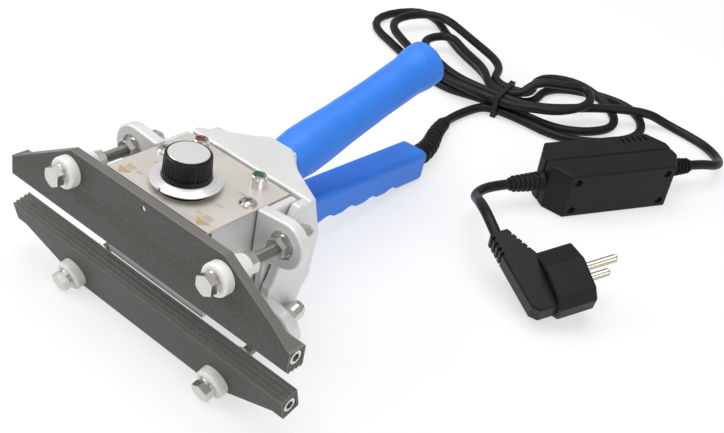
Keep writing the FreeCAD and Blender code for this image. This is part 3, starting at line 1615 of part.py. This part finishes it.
neck_heading = Vector(0, 0, -1)
neck_end_table = plug_pose.multVec(Vector(0, -37, -float(plug_neck_reach)))
pin_depth = 12
pin_radius_plug = plug_pin_diameter / 2
pin_root_radius = pin_radius_plug - 0.4
pin_holes = [
    rod(
        "pin_hole_%d" % i,
        pin_root_radius + 0.02,
        pin_depth + 5,
        at(side * (pin_spacing / 2), -pin_depth, 0),
        Vector(0, 1, 0),
    )
    for i, side in enumerate((-1, 1))
]
plug_solid = fuse("plug_solid", [plug_head, plug_back])
lead_piece("plug_body", cut("plug_body", plug_solid, pin_holes + neck_slots), plug_pose)
plug_pin = turned("plug_pin", [
    (0, -pin_depth),
    (pin_root_radius, -pin_depth),
    (pin_root_radius, 0),
    (pin_radius_plug, 0),
    (pin_radius_plug, pin_length - 1.2),
    (pin_radius_plug - 1.2, pin_length),
    (0, pin_length),
])
plug_pin = moved(plug_pin, at(pin_spacing / 2, 0, 0))
lead_piece("plug_pins", both_sides("plug_pins", [plug_pin]), plug_pose)

neck_table_heading = plug_pose.Rotation.multVec(neck_heading)
tail_points = [
    tail_start,
    tail_start - box_axis * 15.9,
    Vector(56.3, 107.4, 18),
    Vector(73.3, 86.7, 30.6),
    neck_end_table + neck_table_heading * 13.4,
    neck_end_table,
]
lead_piece("cord_tail", feature("cord_tail", tube_with_bends("cord_tail", tail_points)))

doc.recompute()
for piece, pose in lead_pieces:
    piece.Placement = pose * piece.Placement
doc.recompute()
check_document()

hinge_at = laid.multVec(hinge)
dial_at = laid.multVec(at(0, dial_back, plate_top))
dial_axis = laid.Rotation.multVec(up)
print("pitch %.4f" % pitch)
print("laid", laid.Base, "hinge", hinge_at, "dial", dial_at, dial_axis)

os.makedirs("parts", exist_ok=True)
for piece, _ in tool_pieces + lead_pieces:
    piece.Shape.exportStep("parts/%s.step" % piece.Label)
print(len(tool_pieces) + len(lead_pieces), "pieces written")
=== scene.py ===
import math

import bmesh
import bpy
from mathutils import Matrix, Vector


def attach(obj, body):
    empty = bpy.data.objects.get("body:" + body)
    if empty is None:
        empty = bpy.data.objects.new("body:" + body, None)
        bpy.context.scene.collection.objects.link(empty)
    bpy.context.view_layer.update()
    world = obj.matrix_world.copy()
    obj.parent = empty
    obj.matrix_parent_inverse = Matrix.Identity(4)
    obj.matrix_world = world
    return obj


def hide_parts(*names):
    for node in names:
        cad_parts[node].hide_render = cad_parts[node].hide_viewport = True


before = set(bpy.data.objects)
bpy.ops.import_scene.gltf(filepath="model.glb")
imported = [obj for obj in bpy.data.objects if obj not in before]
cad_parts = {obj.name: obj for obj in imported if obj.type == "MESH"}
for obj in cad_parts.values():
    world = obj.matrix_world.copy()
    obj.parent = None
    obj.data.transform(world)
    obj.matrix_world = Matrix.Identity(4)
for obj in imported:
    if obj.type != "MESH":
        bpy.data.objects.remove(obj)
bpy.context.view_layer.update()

# Camera and studio. A long lens looks down on the bars from the right, slightly tilted,
# over a white sweep under a broad overhead softbox with a weaker one at each side.

mm = 0.001
scene = bpy.context.scene
scene.view_settings.view_transform = "Standard"

camera_data = bpy.data.cameras.new("camera")
camera_data.sensor_width = 36
camera_data.lens = 51.57
camera_data.clip_end = 20
camera = bpy.data.objects.new("camera", camera_data)
camera_at = Vector((302.36, -363.55, 383.37)) * mm
looking = Vector((-0.4567, 0.6572, -0.5996)).normalized()
nearly_up = Vector((-0.4622, 0.4006, 0.7911))
camera_right = looking.cross(nearly_up).normalized()
camera_up = camera_right.cross(looking)
camera_turn = Matrix((camera_right, camera_up, -looking)).transposed().to_4x4()
camera.matrix_world = Matrix.Translation(camera_at) @ camera_turn
scene.collection.objects.link(camera)
scene.camera = camera


class Value:
    """A shader socket that takes part in sums: each operator adds a Math node."""

    def __init__(self, finish, socket):
        self.finish = finish
        self.socket = socket

    def reckon(self, operation, first, second):
        return self.finish.node("ShaderNodeMath", {"operation": operation}, {0: first, 1: second})

    def __add__(self, other):
        return self.reckon("ADD", self, other)

    def __rsub__(self, other):
        return self.reckon("SUBTRACT", other, self)

    def __mul__(self, other):
        return self.reckon("MULTIPLY", self, other)

    def __gt__(self, other):
        return self.reckon("GREATER_THAN", self, other)


class Finish:
    """One material, whose fixed numbers are set on the shader's own sockets."""

    def __init__(self, name, **fixed):
        self.material = bpy.data.materials.new(name)
        self.material.use_nodes = True
        self.tree = self.material.node_tree
        self.shader = self.tree.nodes["Principled BSDF"]
        for socket, value in fixed.items():
            self.shader.inputs[self.titled(socket)].default_value = value

    def titled(self, socket):
        return socket.replace("_", " ").title().replace("Ior", "IOR")

    def node(self, kind, settings, inputs, out=0):
        made = self.tree.nodes.new(kind)
        for key, value in settings.items():
            if key == "stops":
                ramp = made.color_ramp.elements
                while len(ramp) < len(value):
                    ramp.new(0.5)
                for stop, (place, shade) in zip(ramp, value):
                    stop.position = place
                    stop.color = (shade, shade, shade, 1)
            else:
                setattr(made, key, value)
        for key, value in inputs.items():
            if isinstance(value, Value):
                self.tree.links.new(value.socket, made.inputs[key])
            else:
                made.inputs[key].default_value = value
        return Value(self, made.outputs[out])

    def feed(self, **links):
        for socket, value in links.items():
            self.tree.links.new(value.socket, self.shader.inputs[self.titled(socket)])

    def place(self, stretch=(1, 1, 1), centre=(0, 0, 0), turn=(0, 0, 0)):
        """Object coordinates in metres, moved to a centre, turned and stretched."""
        here = self.node("ShaderNodeTexCoord", {}, {}, "Object")
        moved = self.vector_math("SUBTRACT", here, centre)
        inputs = {"Vector": moved, "Rotation": turn, "Scale": stretch}
        return self.node("ShaderNodeMapping", {}, inputs)

    def vector_math(self, operation, first, second, out="Vector"):
        inputs = {0: first, 1: second}
        return self.node("ShaderNodeVectorMath", {"operation": operation}, inputs, out)

    def facing(self):
        """The direction that the surface faces."""
        return self.node("ShaderNodeNewGeometry", {}, {}, "Normal")

    def part(self, axis, vector):
        return self.node("ShaderNodeSeparateXYZ", {}, {"Vector": vector}, axis)

    def noise(self, scale, detail, place=None):
        inputs = {"Vector": place or self.place(), "Scale": scale, "Detail": detail}
        return self.node("ShaderNodeTexNoise", {}, inputs)

    def ramp(self, value, *stops):
        return self.node("ShaderNodeValToRGB", {"stops": stops}, {0: value})

    def mix(self, share, first, second):
        """Two colours, blended. A Mix node's colour sockets are known only by number."""
        colour_sockets = {0: share, 6: first, 7: second}
        return self.node("ShaderNodeMix", {"data_type": "RGBA"}, colour_sockets, 2)

    def bump(self, height, depth, strength):
        inputs = {"Height": height, "Distance": depth, "Strength": strength}
        return self.node("ShaderNodeBump", {}, inputs)

    def edge(self, width):
        """1 along sharp edges and 0 on flats, from the angle of a rounded normal."""
        rounded = self.node("ShaderNodeBevel", {"samples": 6}, {"Radius": width})
        level = self.vector_math("DOT_PRODUCT", rounded, self.facing(), "Value")
        return self.ramp(1 - level, (0.02, 0), (0.2, 1))


white_sweep = Finish("white_sweep")
sweep_white = (0.93, 0.93, 0.93, 1)
sweep_glow = 0.62
sweep_half = 3
sweep_drop = 0.0002
floor_shader = white_sweep.node("ShaderNodeBsdfDiffuse", {}, {"Color": sweep_white})
floor_light = white_sweep.node("ShaderNodeEmission", {}, {"Strength": 1.0})
camera_ray = white_sweep.node("ShaderNodeLightPath", {}, {}, "Is Camera Ray")
glossy_ray = white_sweep.node("ShaderNodeLightPath", {}, {}, "Is Glossy Ray")
glowing = (camera_ray + glossy_ray) * sweep_glow
sweep_inputs = {0: glowing, 1: floor_shader, 2: floor_light}
sweep_mix = white_sweep.node("ShaderNodeMixShader", {}, sweep_inputs)
sweep_surface = white_sweep.tree.nodes["Material Output"].inputs["Surface"]
white_sweep.tree.links.new(sweep_mix.socket, sweep_surface)

sweep_mesh = bmesh.new()
bmesh.ops.create_grid(sweep_mesh, x_segments=1, y_segments=1, size=sweep_half)
bmesh.ops.translate(sweep_mesh, vec=(0, 0, -sweep_drop), verts=sweep_mesh.verts)


def finish_piece(name, mesh, finish):
    """Turn a bmesh into a flat-shaded piece of the scene at the origin."""
    data = bpy.data.meshes.new(name)
    mesh.to_mesh(data)
    mesh.free()
    for face in data.polygons:
        face.use_smooth = False
    data.materials.append(finish.material)
    piece = bpy.data.objects.new(name, data)
    scene.collection.objects.link(piece)
    return piece


finish_piece("sweep", sweep_mesh, white_sweep)

world = bpy.data.worlds.new("studio")
world.use_nodes = True
world_strength = 0.42
background = world.node_tree.nodes["Background"]
background.inputs["Color"].default_value = (1, 1, 1, 1)
background.inputs["Strength"].default_value = world_strength
scene.world = world

lamp_aim = Vector((0, 0, 0.03))
for lamp_name, lamp_place, lamp_size, lamp_power in (
    ("overhead_softbox", (-0.15, 0.05, 1.25), 1.1, 11.0),
    ("left_softbox", (-1.0, -0.75, 0.75), 0.8, 7.0),
    ("right_softbox", (1.1, -0.3, 0.6), 0.7, 3.5),
):
    lamp_data = bpy.data.lights.new(lamp_name, "AREA")
    lamp_data.size = lamp_size
    lamp_data.energy = lamp_power
    lamp = bpy.data.objects.new(lamp_name, lamp_data)
    lamp.location = lamp_place
    lamp_ray = lamp_aim - lamp.location
    lamp.rotation_euler = lamp_ray.to_track_quat("-Z", "Y").to_euler()
    scene.collection.objects.link(lamp)

# Mains lead. A round black jacketed cable leaves the boot, is folded into a tied hank of
# three loops a side, and runs on to the in-line box; a short tail goes from there to the plug.

cord_thickness = 6.5
cord_radius = cord_thickness / 2
cord_jacket = Finish("cord_jacket", roughness=0.42, specular_ior_level=0.26)
jacket_mottle = cord_jacket.noise(90, detail=3)
jacket_grain = cord_jacket.noise(2600, detail=2)
cord_jacket.feed(
    base_color=cord_jacket.mix(jacket_mottle, (0.004, 0.004, 0.0045, 1), (0.009, 0.009, 0.0095, 1)),
    roughness=cord_jacket.ramp(jacket_mottle, (0.3, 0.36), (0.7, 0.5)),
    normal=cord_jacket.bump(jacket_grain, depth=0.00004, strength=0.5),
)


def flat(angle):
    return Vector((math.cos(math.radians(angle)), math.sin(math.radians(angle)), 0))


def lying_cord(name, points):
    """A round cable on one smooth spline, drawn along control points in millimetres."""
    curve = bpy.data.curves.new(name, "CURVE")
    curve.dimensions = "3D"
    curve.bevel_depth = cord_radius * mm
    curve.bevel_resolution = 5
    curve.resolution_u = 6
    curve.use_fill_caps = True
    spline = curve.splines.new("NURBS")
    spline.points.add(len(points) - 1)
    for control, place in zip(spline.points, points):
        control.co = (*(place * mm), 1)
    spline.order_u = 3
    spline.use_endpoint_u = True
    curve.materials.append(cord_jacket.material)
    piece = bpy.data.objects.new(name, curve)
    scene.collection.objects.link(piece)
    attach(piece, "frame")
    return piece


tie_at = Vector((-6, 236, 0))
waist_angle, right_angle, left_angle = 10, 38, 159
strand_pitch = 7.4
floor_gap = 0.2
over_gap = 0.6
top_gap = 1
tie_under = 1.4
lobe_low = cord_radius + floor_gap
lobe_high = lobe_low + strand_pitch + over_gap
lobe_top = lobe_high + strand_pitch + top_gap
waist_low = cord_radius + tie_under
waist_high = waist_low + strand_pitch
inner_strand = strand_pitch / 2
outer_strand = strand_pitch * 1.5


def waist_spot(offset, height, rightwards):
    heading = flat(waist_angle) if rightwards else -flat(waist_angle)
    return tie_at + flat(waist_angle + 90) * offset + Vector((0, 0, height)), heading


def lobe_spots(angle, reach, first_flank, last_flank, heights):
    """A lobe's first flank, tip and second flank, each with its heading."""
    out, aside = flat(angle), flat(angle + 90)
    first = tie_at + out * first_flank[0] - aside * first_flank[1] + Vector((0, 0, heights[0]))
    tip = tie_at + out * reach + Vector((0, 0, heights[1]))
    last = tie_at + out * last_flank[0] + aside * last_flank[1] + Vector((0, 0, heights[2]))
    return [(first, out), (tip, aside), (last, -out)]


all_low = (lobe_low, lobe_low, lobe_low)
all_high = (lobe_high, lobe_high, lobe_high)
climbing = (lobe_low, lobe_low + 0.5, lobe_high)
on_top = (lobe_high + 4.5, lobe_top, lobe_top + 2)
# Each lobe has its reach, the places of its first and second flank along and off its axis,
# and its heights at the first flank, tip and second flank.
right_lobes = [
    (104, (55, 37), (56, 35), all_low),
    (84, (50, 24.5), (45, 35), climbing),
    (62, (27, 21.5), (32, 7.5), on_top),
]
left_lobes = [
    (152, (55, 15), (55, 32), all_low),
    (131, (53, 26), (56, 31.5), all_high),
    (93, (52, 9), (50, 20.5), all_high),
]
back_strands = [
    (outer_strand, waist_low), (outer_strand, waist_high), (inner_strand, waist_high),
]
front_strands = [
    (-inner_strand, waist_low), (-outer_strand, waist_high), (-inner_strand, waist_high),
]
entry_at = Vector((-18, 203.6, lobe_low))
entry_heading = flat(82)
exit_at = Vector((106, 312, lobe_low))
exit_heading = flat(-6)
crossing_reach = 98
crossing_height = Vector((0, 0, lobe_high + over_gap))
crossing_angle = right_angle + 2
end_pull = 12
hank_spots = [
    (entry_at + entry_heading * cord_thickness, entry_heading),
    waist_spot(-outer_strand, waist_low, True),
]
for right, left, back, front in zip(right_lobes, left_lobes, back_strands, front_strands):
    hank_spots += lobe_spots(right_angle, *right)
    hank_spots.append(waist_spot(*back, False))
    hank_spots += lobe_spots(left_angle, *left)
    hank_spots.append(waist_spot(*front, True))
crossing_at = tie_at + flat(right_angle) * crossing_reach + crossing_height
hank_spots.append((crossing_at, flat(crossing_angle)))
hank_spots.append((exit_at - exit_heading * cord_thickness, exit_heading))

boot_tip = Vector((-17, 180, 5.4))
lead_route = [boot_tip, entry_at - entry_heading * end_pull]
# Two arcs join each pair of spots; their control points lie at one reach from both spots.
for (start, leaving), (end, arriving) in zip(hank_spots, hank_spots[1:]):
    chord = end - start
    spread = 2 * (1 - leaving.dot(arriving))
    along = chord.dot(leaving + arriving)
    if spread < 1e-6:
        reach = chord.dot(chord) / (4 * chord.dot(arriving))
    else:
        reach = (math.sqrt(along * along + spread * chord.dot(chord)) - along) / spread
    lead_route += [start + leaving * reach, end - arriving * reach]
box_axis = flat(58.8)
box_middle = Vector((99.4, 197.1, 16))
box_half_length = 47
relief_in_length = 19
relief_out_length = 23
feed_end = box_middle + box_axis * (box_half_length + relief_in_length)
feed_pull = 10
lead_route += [
    exit_at + exit_heading * end_pull,
    Vector((131, 304.5, 4.2)),
    Vector((142.5, 291.5, 7)),
    Vector((146, 275.5, 12.5)),
    feed_end + box_axis * feed_pull,
    feed_end,
]
main_lead = lying_cord("main_lead", lead_route)
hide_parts("cord_lead", "cord_hank", "cord_feed")

tail_start = box_middle - box_axis * (box_half_length + relief_out_length)
neck_end = Vector((94.864, 72.129, 27.155))
neck_heading = Vector((-0.82518, 0.42504, 0.37204))
tail_pull = 15.9
neck_pull = 13.4
plug_tail = lying_cord("plug_tail", [
    tail_start,
    tail_start - box_axis * tail_pull,
    Vector((56.3, 107.4, 18)),
    Vector((64.8, 97.05, 24.3)),
    Vector((73.3, 86.7, 30.6)),
    neck_end + neck_heading * neck_pull,
    neck_end,
])
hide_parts("cord_tail")

# Castings. Two sand-cast aluminium halves and the pressed tray between them, sprayed a light
# silver-grey; the paint has a fine orange peel and is chipped to dark metal along its edges.


def dress(finish, *nodes):
    for name in nodes:
        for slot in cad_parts[name].material_slots:
            slot.material = finish.material


silver_paint = Finish("silver_paint", metallic=0.25, roughness=0.4)
paint_cloud = silver_paint.noise(28, detail=4)
paint_peel = silver_paint.noise(1400, detail=2)
chip_width = 0.0012
chip_level = 0.585
paint_chip = silver_paint.edge(chip_width) * (silver_paint.noise(330, detail=4) > chip_level)
paint_tone = silver_paint.mix(paint_cloud, (0.65, 0.65, 0.645, 1), (0.79, 0.79, 0.785, 1))
silver_paint.feed(
    base_color=silver_paint.mix(paint_chip, paint_tone, (0.09, 0.088, 0.085, 1)),
    roughness=silver_paint.ramp(paint_cloud, (0.3, 0.3), (0.7, 0.46)),
    normal=silver_paint.bump(paint_peel, depth=0.00005, strength=0.55),
)
dress(silver_paint, "fixed_casting", "moving_casting", "control_box")

# Hinge, spring and hidden works. A turned steel pin ends blind in the castings' walls, with a
# clip inside each cheek, and a wound wire spring pushes the grips apart. The heaters and the
# thermostat's body have the same steel.

turned_steel = Finish("turned_steel", metallic=1.0, roughness=0.3)
steel_streak = turned_steel.noise(60, detail=3, place=turned_steel.place(stretch=(1, 14, 14)))
turned_steel.feed(
    base_color=turned_steel.mix(steel_streak, (0.36, 0.355, 0.345, 1), (0.56, 0.55, 0.535, 1)),
    roughness=turned_steel.ramp(steel_streak, (0.3, 0.22), (0.7, 0.42)),
)
dress(turned_steel, "hinge_pin", "pin_clips", "return_spring")
dress(turned_steel, "upper_heater", "lower_heater", "thermostat")

# Sealing bars. Two milled aluminium bars with ribbed working faces under a dark grey
# non-stick coating, finely speckled, with a painted highlight along edges and ribs and coloured
# lighter on faces that look up.

bar_coating = Finish("bar_coating", metallic=0.3, roughness=0.55, specular_ior_level=0.4)
coating_speck = bar_coating.noise(2300, detail=3)
coating_fleck = bar_coating.ramp(bar_coating.noise(1100, detail=3), (0.6, 0), (0.7, 1))
coating_cloud = bar_coating.noise(26, detail=4, place=bar_coating.place(stretch=(0.35, 1, 1)))
# A painted highlight along the bars' edges and ribs, made patchy by noise.
highlight_width = 0.0009
highlight_share = 0.8
fleck_share = 0.55
age_share = 0.5
highlight_patches = bar_coating.ramp(bar_coating.noise(160, detail=4), (0.3, 0.45), (0.65, 1))
painted_edge_highlight = bar_coating.edge(highlight_width) * highlight_patches
coating_tone = bar_coating.mix(coating_speck, (0.038, 0.038, 0.035, 1), (0.112, 0.111, 0.104, 1))
flecked = coating_fleck * fleck_share
coating_flecked = bar_coating.mix(flecked, coating_tone, (0.24, 0.235, 0.22, 1))
aged = coating_cloud * age_share
coating_aged = bar_coating.mix(aged, coating_flecked, (0.088, 0.086, 0.078, 1))
# Faces that look up are coloured lighter.
upward = bar_coating.part("Z", bar_coating.facing())
lighter_upward = bar_coating.ramp(upward, (0.5, 0), (0.9, 0.5))
coating_paler_on_top = bar_coating.mix(lighter_upward, coating_aged, (0.27, 0.265, 0.25, 1))
bar_coating.feed(
    base_color=bar_coating.mix(painted_edge_highlight * highlight_share, coating_paler_on_top, (0.36, 0.355, 0.34, 1)),
    roughness=bar_coating.ramp(coating_cloud, (0.3, 0.46), (0.7, 0.62)),
    normal=bar_coating.bump(coating_speck, depth=0.00003, strength=0.6),
)
dress(bar_coating, "upper_bar", "lower_bar")

# Bore plugs and screws. Small bright socket plugs close the ends of the heaters' bores, and
# a pin-sized screw holds the sensor in the upper bar. The plate's and the in-line box's
# screws have the same zinc.

bright_zinc = Finish("bright_zinc", metallic=1.0, roughness=0.22)
zinc_bloom = bright_zinc.noise(60, detail=3)
zinc_scuff = bright_zinc.noise(1500, detail=2)
bright_zinc.feed(
    base_color=bright_zinc.mix(zinc_bloom, (0.60, 0.585, 0.555, 1), (0.74, 0.725, 0.70, 1)),
    roughness=bright_zinc.ramp(zinc_bloom, (0.35, 0.2), (0.7, 0.32)),
    normal=bright_zinc.bump(zinc_scuff, depth=0.00002, strength=0.2),
)
dress(bright_zinc, "upper_end_plugs", "lower_end_plugs", "probe_screw")
dress(bright_zinc, "plate_screws", "box_screws")

# Stand-offs. Each bar hangs on two zinc-plated bolts, threaded behind their heads, with plain
# washers, lock nuts and domed nuts. Glazed white ceramic beads before and behind the bar keep
# it off the metal.

thread_scale = 314  # puts the wave texture's bands 1 mm apart
thread_start = -0.1
for half, lean in (("upper", 4.7), ("lower", -11.1)):
    dress(bright_zinc, half + "_washers", half + "_nuts", half + "_cap_nuts")
    thread = Finish(half + "_thread", metallic=1.0, roughness=0.3)
    along_bolt = thread.place(turn=(math.radians(-lean), 0, 0))
    wave_inputs = {"Vector": along_bolt, "Scale": thread_scale}
    turns = thread.node("ShaderNodeTexWave", {"bands_direction": "Y"}, wave_inputs, "Fac")
    shank = thread.part("Y", thread.place()) > thread_start
    # The thread is a darker brownish zinc of its own, striped with painted shade in the grooves
    # between lighter crests.
    groove_shaded_thread = thread.mix(turns, (0.13, 0.125, 0.115, 1), (0.42, 0.405, 0.38, 1))
    thread.feed(
        base_color=thread.mix(shank, (0.66, 0.645, 0.62, 1), groove_shaded_thread),
        normal=thread.bump(turns * shank, depth=0.0004, strength=0.8),
    )
    dress(thread, half + "_bolts")
white_ceramic = Finish("white_ceramic", roughness=0.32)
ceramic_stain = white_ceramic.noise(75, detail=5)
ceramic_pit = white_ceramic.noise(1700, detail=2)
stained = white_ceramic.ramp(ceramic_stain, (0.52, 0), (0.8, 1))
white_ceramic.feed(
    base_color=white_ceramic.mix(stained, (0.80, 0.79, 0.75, 1), (0.58, 0.56, 0.50, 1)),
    roughness=white_ceramic.ramp(ceramic_stain, (0.3, 0.26), (0.7, 0.42)),
    normal=white_ceramic.bump(ceramic_pit, depth=0.00003, strength=0.4),
)
for half in ("upper", "lower"):
    dress(white_ceramic, half + "_front_insulators", half + "_rear_insulators")

# Top plate. A stainless plate, brushed along the bars and screwed over the tray, with tan
# printed arrows and small scale words around the dial, which read from the grips.

brushed_plate = Finish("brushed_plate", metallic=0.45, roughness=0.36)
brush_line = brushed_plate.noise(1, detail=4, place=brushed_plate.place(stretch=(35, 2600, 2600)))
plate_bloom = brushed_plate.noise(24, detail=3)
bloom_share = 0.35
brush_tone = brushed_plate.mix(brush_line, (0.64, 0.61, 0.56, 1), (0.77, 0.74, 0.69, 1))
brushed_plate.feed(
    base_color=brushed_plate.mix(plate_bloom * bloom_share, brush_tone, (0.70, 0.65, 0.58, 1)),
    roughness=brushed_plate.ramp(brush_line, (0.3, 0.3), (0.7, 0.44)),
    normal=brushed_plate.bump(brush_line, depth=0.00002, strength=0.35),
)
dress(brushed_plate, "top_plate")

dial_at = Vector((0, -80.7484, 82.9644)) * mm
dial_axis = Vector((0, 0.08134, 0.99669)).normalized()
plate_back = Vector((0, dial_axis.z, -dial_axis.y))
tan_print = Finish("tan_print", roughness=0.55)
print_fade = tan_print.noise(900, detail=3)
tan_print.feed(base_color=tan_print.mix(print_fade, (0.36, 0.24, 0.12, 1), (0.52, 0.39, 0.24, 1)))
print_lift = 0.04
print_mesh = bmesh.new()


def print_on_plate(piece_mesh, right, back, turn):
    """Put a flat mesh on the plate, so many millimetres from the dial, to read from the grips."""
    lie = Matrix((Vector((-1, 0, 0)), -plate_back, dial_axis)).transposed().to_4x4()
    aside = Vector((right, 0, 0)) * mm + plate_back * back * mm
    spot = dial_at + aside + dial_axis * print_lift * mm
    spin = Matrix.Rotation(math.radians(turn), 4, "Z")
    piece_mesh.transform(Matrix.Translation(spot) @ lie @ spin)
    print_mesh.from_mesh(piece_mesh)


letter_height = 2.6
for word, right, back in (
    ("OFF", 23, 1), ("100", -23, 2), ("200", -21, -11), ("300", 21, -11),
    ("HEAT", 22, 17), ("ON", -22, 17),
):
    letters = bpy.data.curves.new(word, "FONT")
    letters.body = word
    letters.size = letter_height * mm
    letters.align_x = "CENTER"
    letters.align_y = "CENTER"
    carrier = bpy.data.objects.new(word, letters)
    print_on_plate(bpy.data.meshes.new_from_object(carrier), right, back, 0)
    bpy.data.objects.remove(carrier)
arrow_aside = 27.5
arrow_back = -14
arrow_head = ((0, -4.8), (5, 0), (0, 4.8))
stripe_wide = 0.55
low, high = -2.7, 2.7
stripes = [
    [(x, low), (x + stripe_wide, low), (x + stripe_wide, high), (x, high)]
    for x in (-4.6, -3.5, -2.4, -1.3)
]
for right in (-arrow_aside, arrow_aside):
    arrow_mesh = bmesh.new()
    for outline in (arrow_head, *stripes):
        arrow_mesh.faces.new([arrow_mesh.verts.new((x * mm, y * mm, 0)) for x, y in outline])
    arrow = bpy.data.meshes.new("arrow")
    arrow_mesh.to_mesh(arrow)
    arrow_mesh.free()
    print_on_plate(arrow, right, arrow_back, 90)
plate_print = finish_piece("plate_print", print_mesh, tan_print)
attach(plate_print, "frame")

# Dial. A fluted black knob with a bright metal cap sits on a turned aluminium skirt, on the
# thermostat's shaft above a black seat on the plate. The hank's tie has the same black.

black_moulding = Finish("black_moulding", roughness=0.36, specular_ior_level=0.3)
moulding_cloud = black_moulding.noise(140, detail=3)
moulding_grain = black_moulding.noise(3000, detail=2)
moulding_dark, moulding_light = (0.003, 0.003, 0.003, 1), (0.008, 0.008, 0.008, 1)
black_moulding.feed(
    base_color=black_moulding.mix(moulding_cloud, moulding_dark, moulding_light),
    roughness=black_moulding.ramp(moulding_cloud, (0.3, 0.28), (0.7, 0.44)),
    normal=black_moulding.bump(moulding_grain, depth=0.00003, strength=0.5),
)
dress(black_moulding, "knob", "dial_base", "hank_tie")

spun_metal = Finish("spun_metal", metallic=0.55, roughness=0.26)
tilt = math.atan2(dial_axis.y, dial_axis.z)
spun_place = spun_metal.place(centre=dial_at, turn=(tilt, 0, 0))
spun_flat = spun_metal.vector_math("MULTIPLY", spun_place, (1, 1, 0))
spun_radius = spun_metal.node(
    "ShaderNodeVectorMath", {"operation": "LENGTH"}, {0: spun_flat}, "Value"
)
ring_inputs = {"W": spun_radius, "Scale": 5200, "Detail": 3}
spun_ring = spun_metal.node("ShaderNodeTexNoise", {"noise_dimensions": "1D"}, ring_inputs)
spun_metal.feed(
    base_color=spun_metal.mix(spun_ring, (0.80, 0.80, 0.79, 1), (0.93, 0.93, 0.92, 1)),
    roughness=spun_metal.ramp(spun_ring, (0.3, 0.18), (0.7, 0.36)),
    normal=spun_metal.bump(spun_ring, depth=0.00002, strength=0.4),
)
dress(spun_metal, "knob_cap", "dial_skirt")
dress(turned_steel, "dial_shaft")

# Pilot lamps. Two screw-in lamps with polished bezels, a red lens at the left for the
# supply and a green one at the right for the heaters.

polished_bezel = Finish("polished_bezel", metallic=1.0, roughness=0.1)
bezel_haze = polished_bezel.noise(300, detail=3)
polished_bezel.feed(
    base_color=polished_bezel.mix(bezel_haze, (0.78, 0.775, 0.76, 1), (0.88, 0.875, 0.86, 1)),
    roughness=polished_bezel.ramp(bezel_haze, (0.35, 0.06), (0.75, 0.2)),
)
dress(polished_bezel, "lamp_bezels")
for lens, dark, clear in (
    ("red_lens", (0.05, 0.004, 0.003, 1), (0.22, 0.014, 0.01, 1)),
    ("green_lens", (0.002, 0.03, 0.012, 1), (0.012, 0.14, 0.055, 1)),
):
    tinted = Finish(lens, roughness=0.12, coat_weight=0.8)
    facet = tinted.noise(800, detail=2)
    tinted.feed(
        base_color=tinted.mix(facet, dark, clear),
        normal=tinted.bump(facet, depth=0.0001, strength=0.5),
    )
    dress(tinted, lens)

# Grips. Bright blue vinyl is dipped over the tangs, thick and smooth, with a soft gloss and
# a faint mould haze; the lower grip has finger waves.

blue_vinyl = Finish("blue_vinyl", roughness=0.45, specular_ior_level=0.32)
vinyl_haze = blue_vinyl.noise(45, detail=4)
vinyl_skin = blue_vinyl.noise(1100, detail=3)
blue_vinyl.feed(
    base_color=blue_vinyl.mix(vinyl_haze, (0.024, 0.175, 0.72, 1), (0.044, 0.24, 0.84, 1)),
    roughness=blue_vinyl.ramp(vinyl_haze, (0.3, 0.34), (0.7, 0.5)),
    normal=blue_vinyl.bump(vinyl_skin, depth=0.00006, strength=0.45),
)
dress(blue_vinyl, "upper_grip", "lower_grip")

# Lead fittings. The ribbed boot, the in-line box with its reliefs and the angled plug are
# black moulded rubber and plastic with a fine spark grain. The plug has dull nickel pins, and
# the box holds a small green board.

spark_grain = Finish("spark_grain", roughness=0.5, specular_ior_level=0.24)
spark = spark_grain.noise(2400, detail=3)
spark_cloud = spark_grain.noise(60, detail=4)
spark_rub_width = 0.0006
spark_rub_share = 0.5
spark_rub = spark_grain.edge(spark_rub_width) * spark_rub_share
spark_tone = spark_grain.mix(spark_cloud, (0.004, 0.004, 0.0045, 1), (0.009, 0.009, 0.0095, 1))
spark_grain.feed(
    base_color=spark_grain.mix(spark_rub, spark_tone, (0.028, 0.028, 0.029, 1)),
    roughness=spark_grain.ramp(spark, (0.3, 0.42), (0.7, 0.58)),
    normal=spark_grain.bump(spark, depth=0.00007, strength=0.6),
)
dress(spark_grain, "cord_boot", "plug_body")
dress(spark_grain, "box_front_shell", "box_rear_shell", "box_relief_in", "box_relief_out")

pin_nickel = Finish("pin_nickel", metallic=1.0, roughness=0.2)
nickel_wear = pin_nickel.noise(200, detail=3, place=pin_nickel.place(stretch=(1, 0.2, 1)))
pin_nickel.feed(
    base_color=pin_nickel.mix(nickel_wear, (0.42, 0.39, 0.32, 1), (0.60, 0.57, 0.49, 1)),
    roughness=pin_nickel.ramp(nickel_wear, (0.35, 0.14), (0.7, 0.28)),
)
dress(pin_nickel, "plug_pins")

green_board = Finish("green_board", roughness=0.4)
board_trace = green_board.noise(400, detail=2)
trace_level = 0.55
traced = board_trace > trace_level
green_board.feed(
    base_color=green_board.mix(traced, (0.01, 0.10, 0.04, 1), (0.03, 0.20, 0.09, 1)),
)
dress(green_board, "control_board")
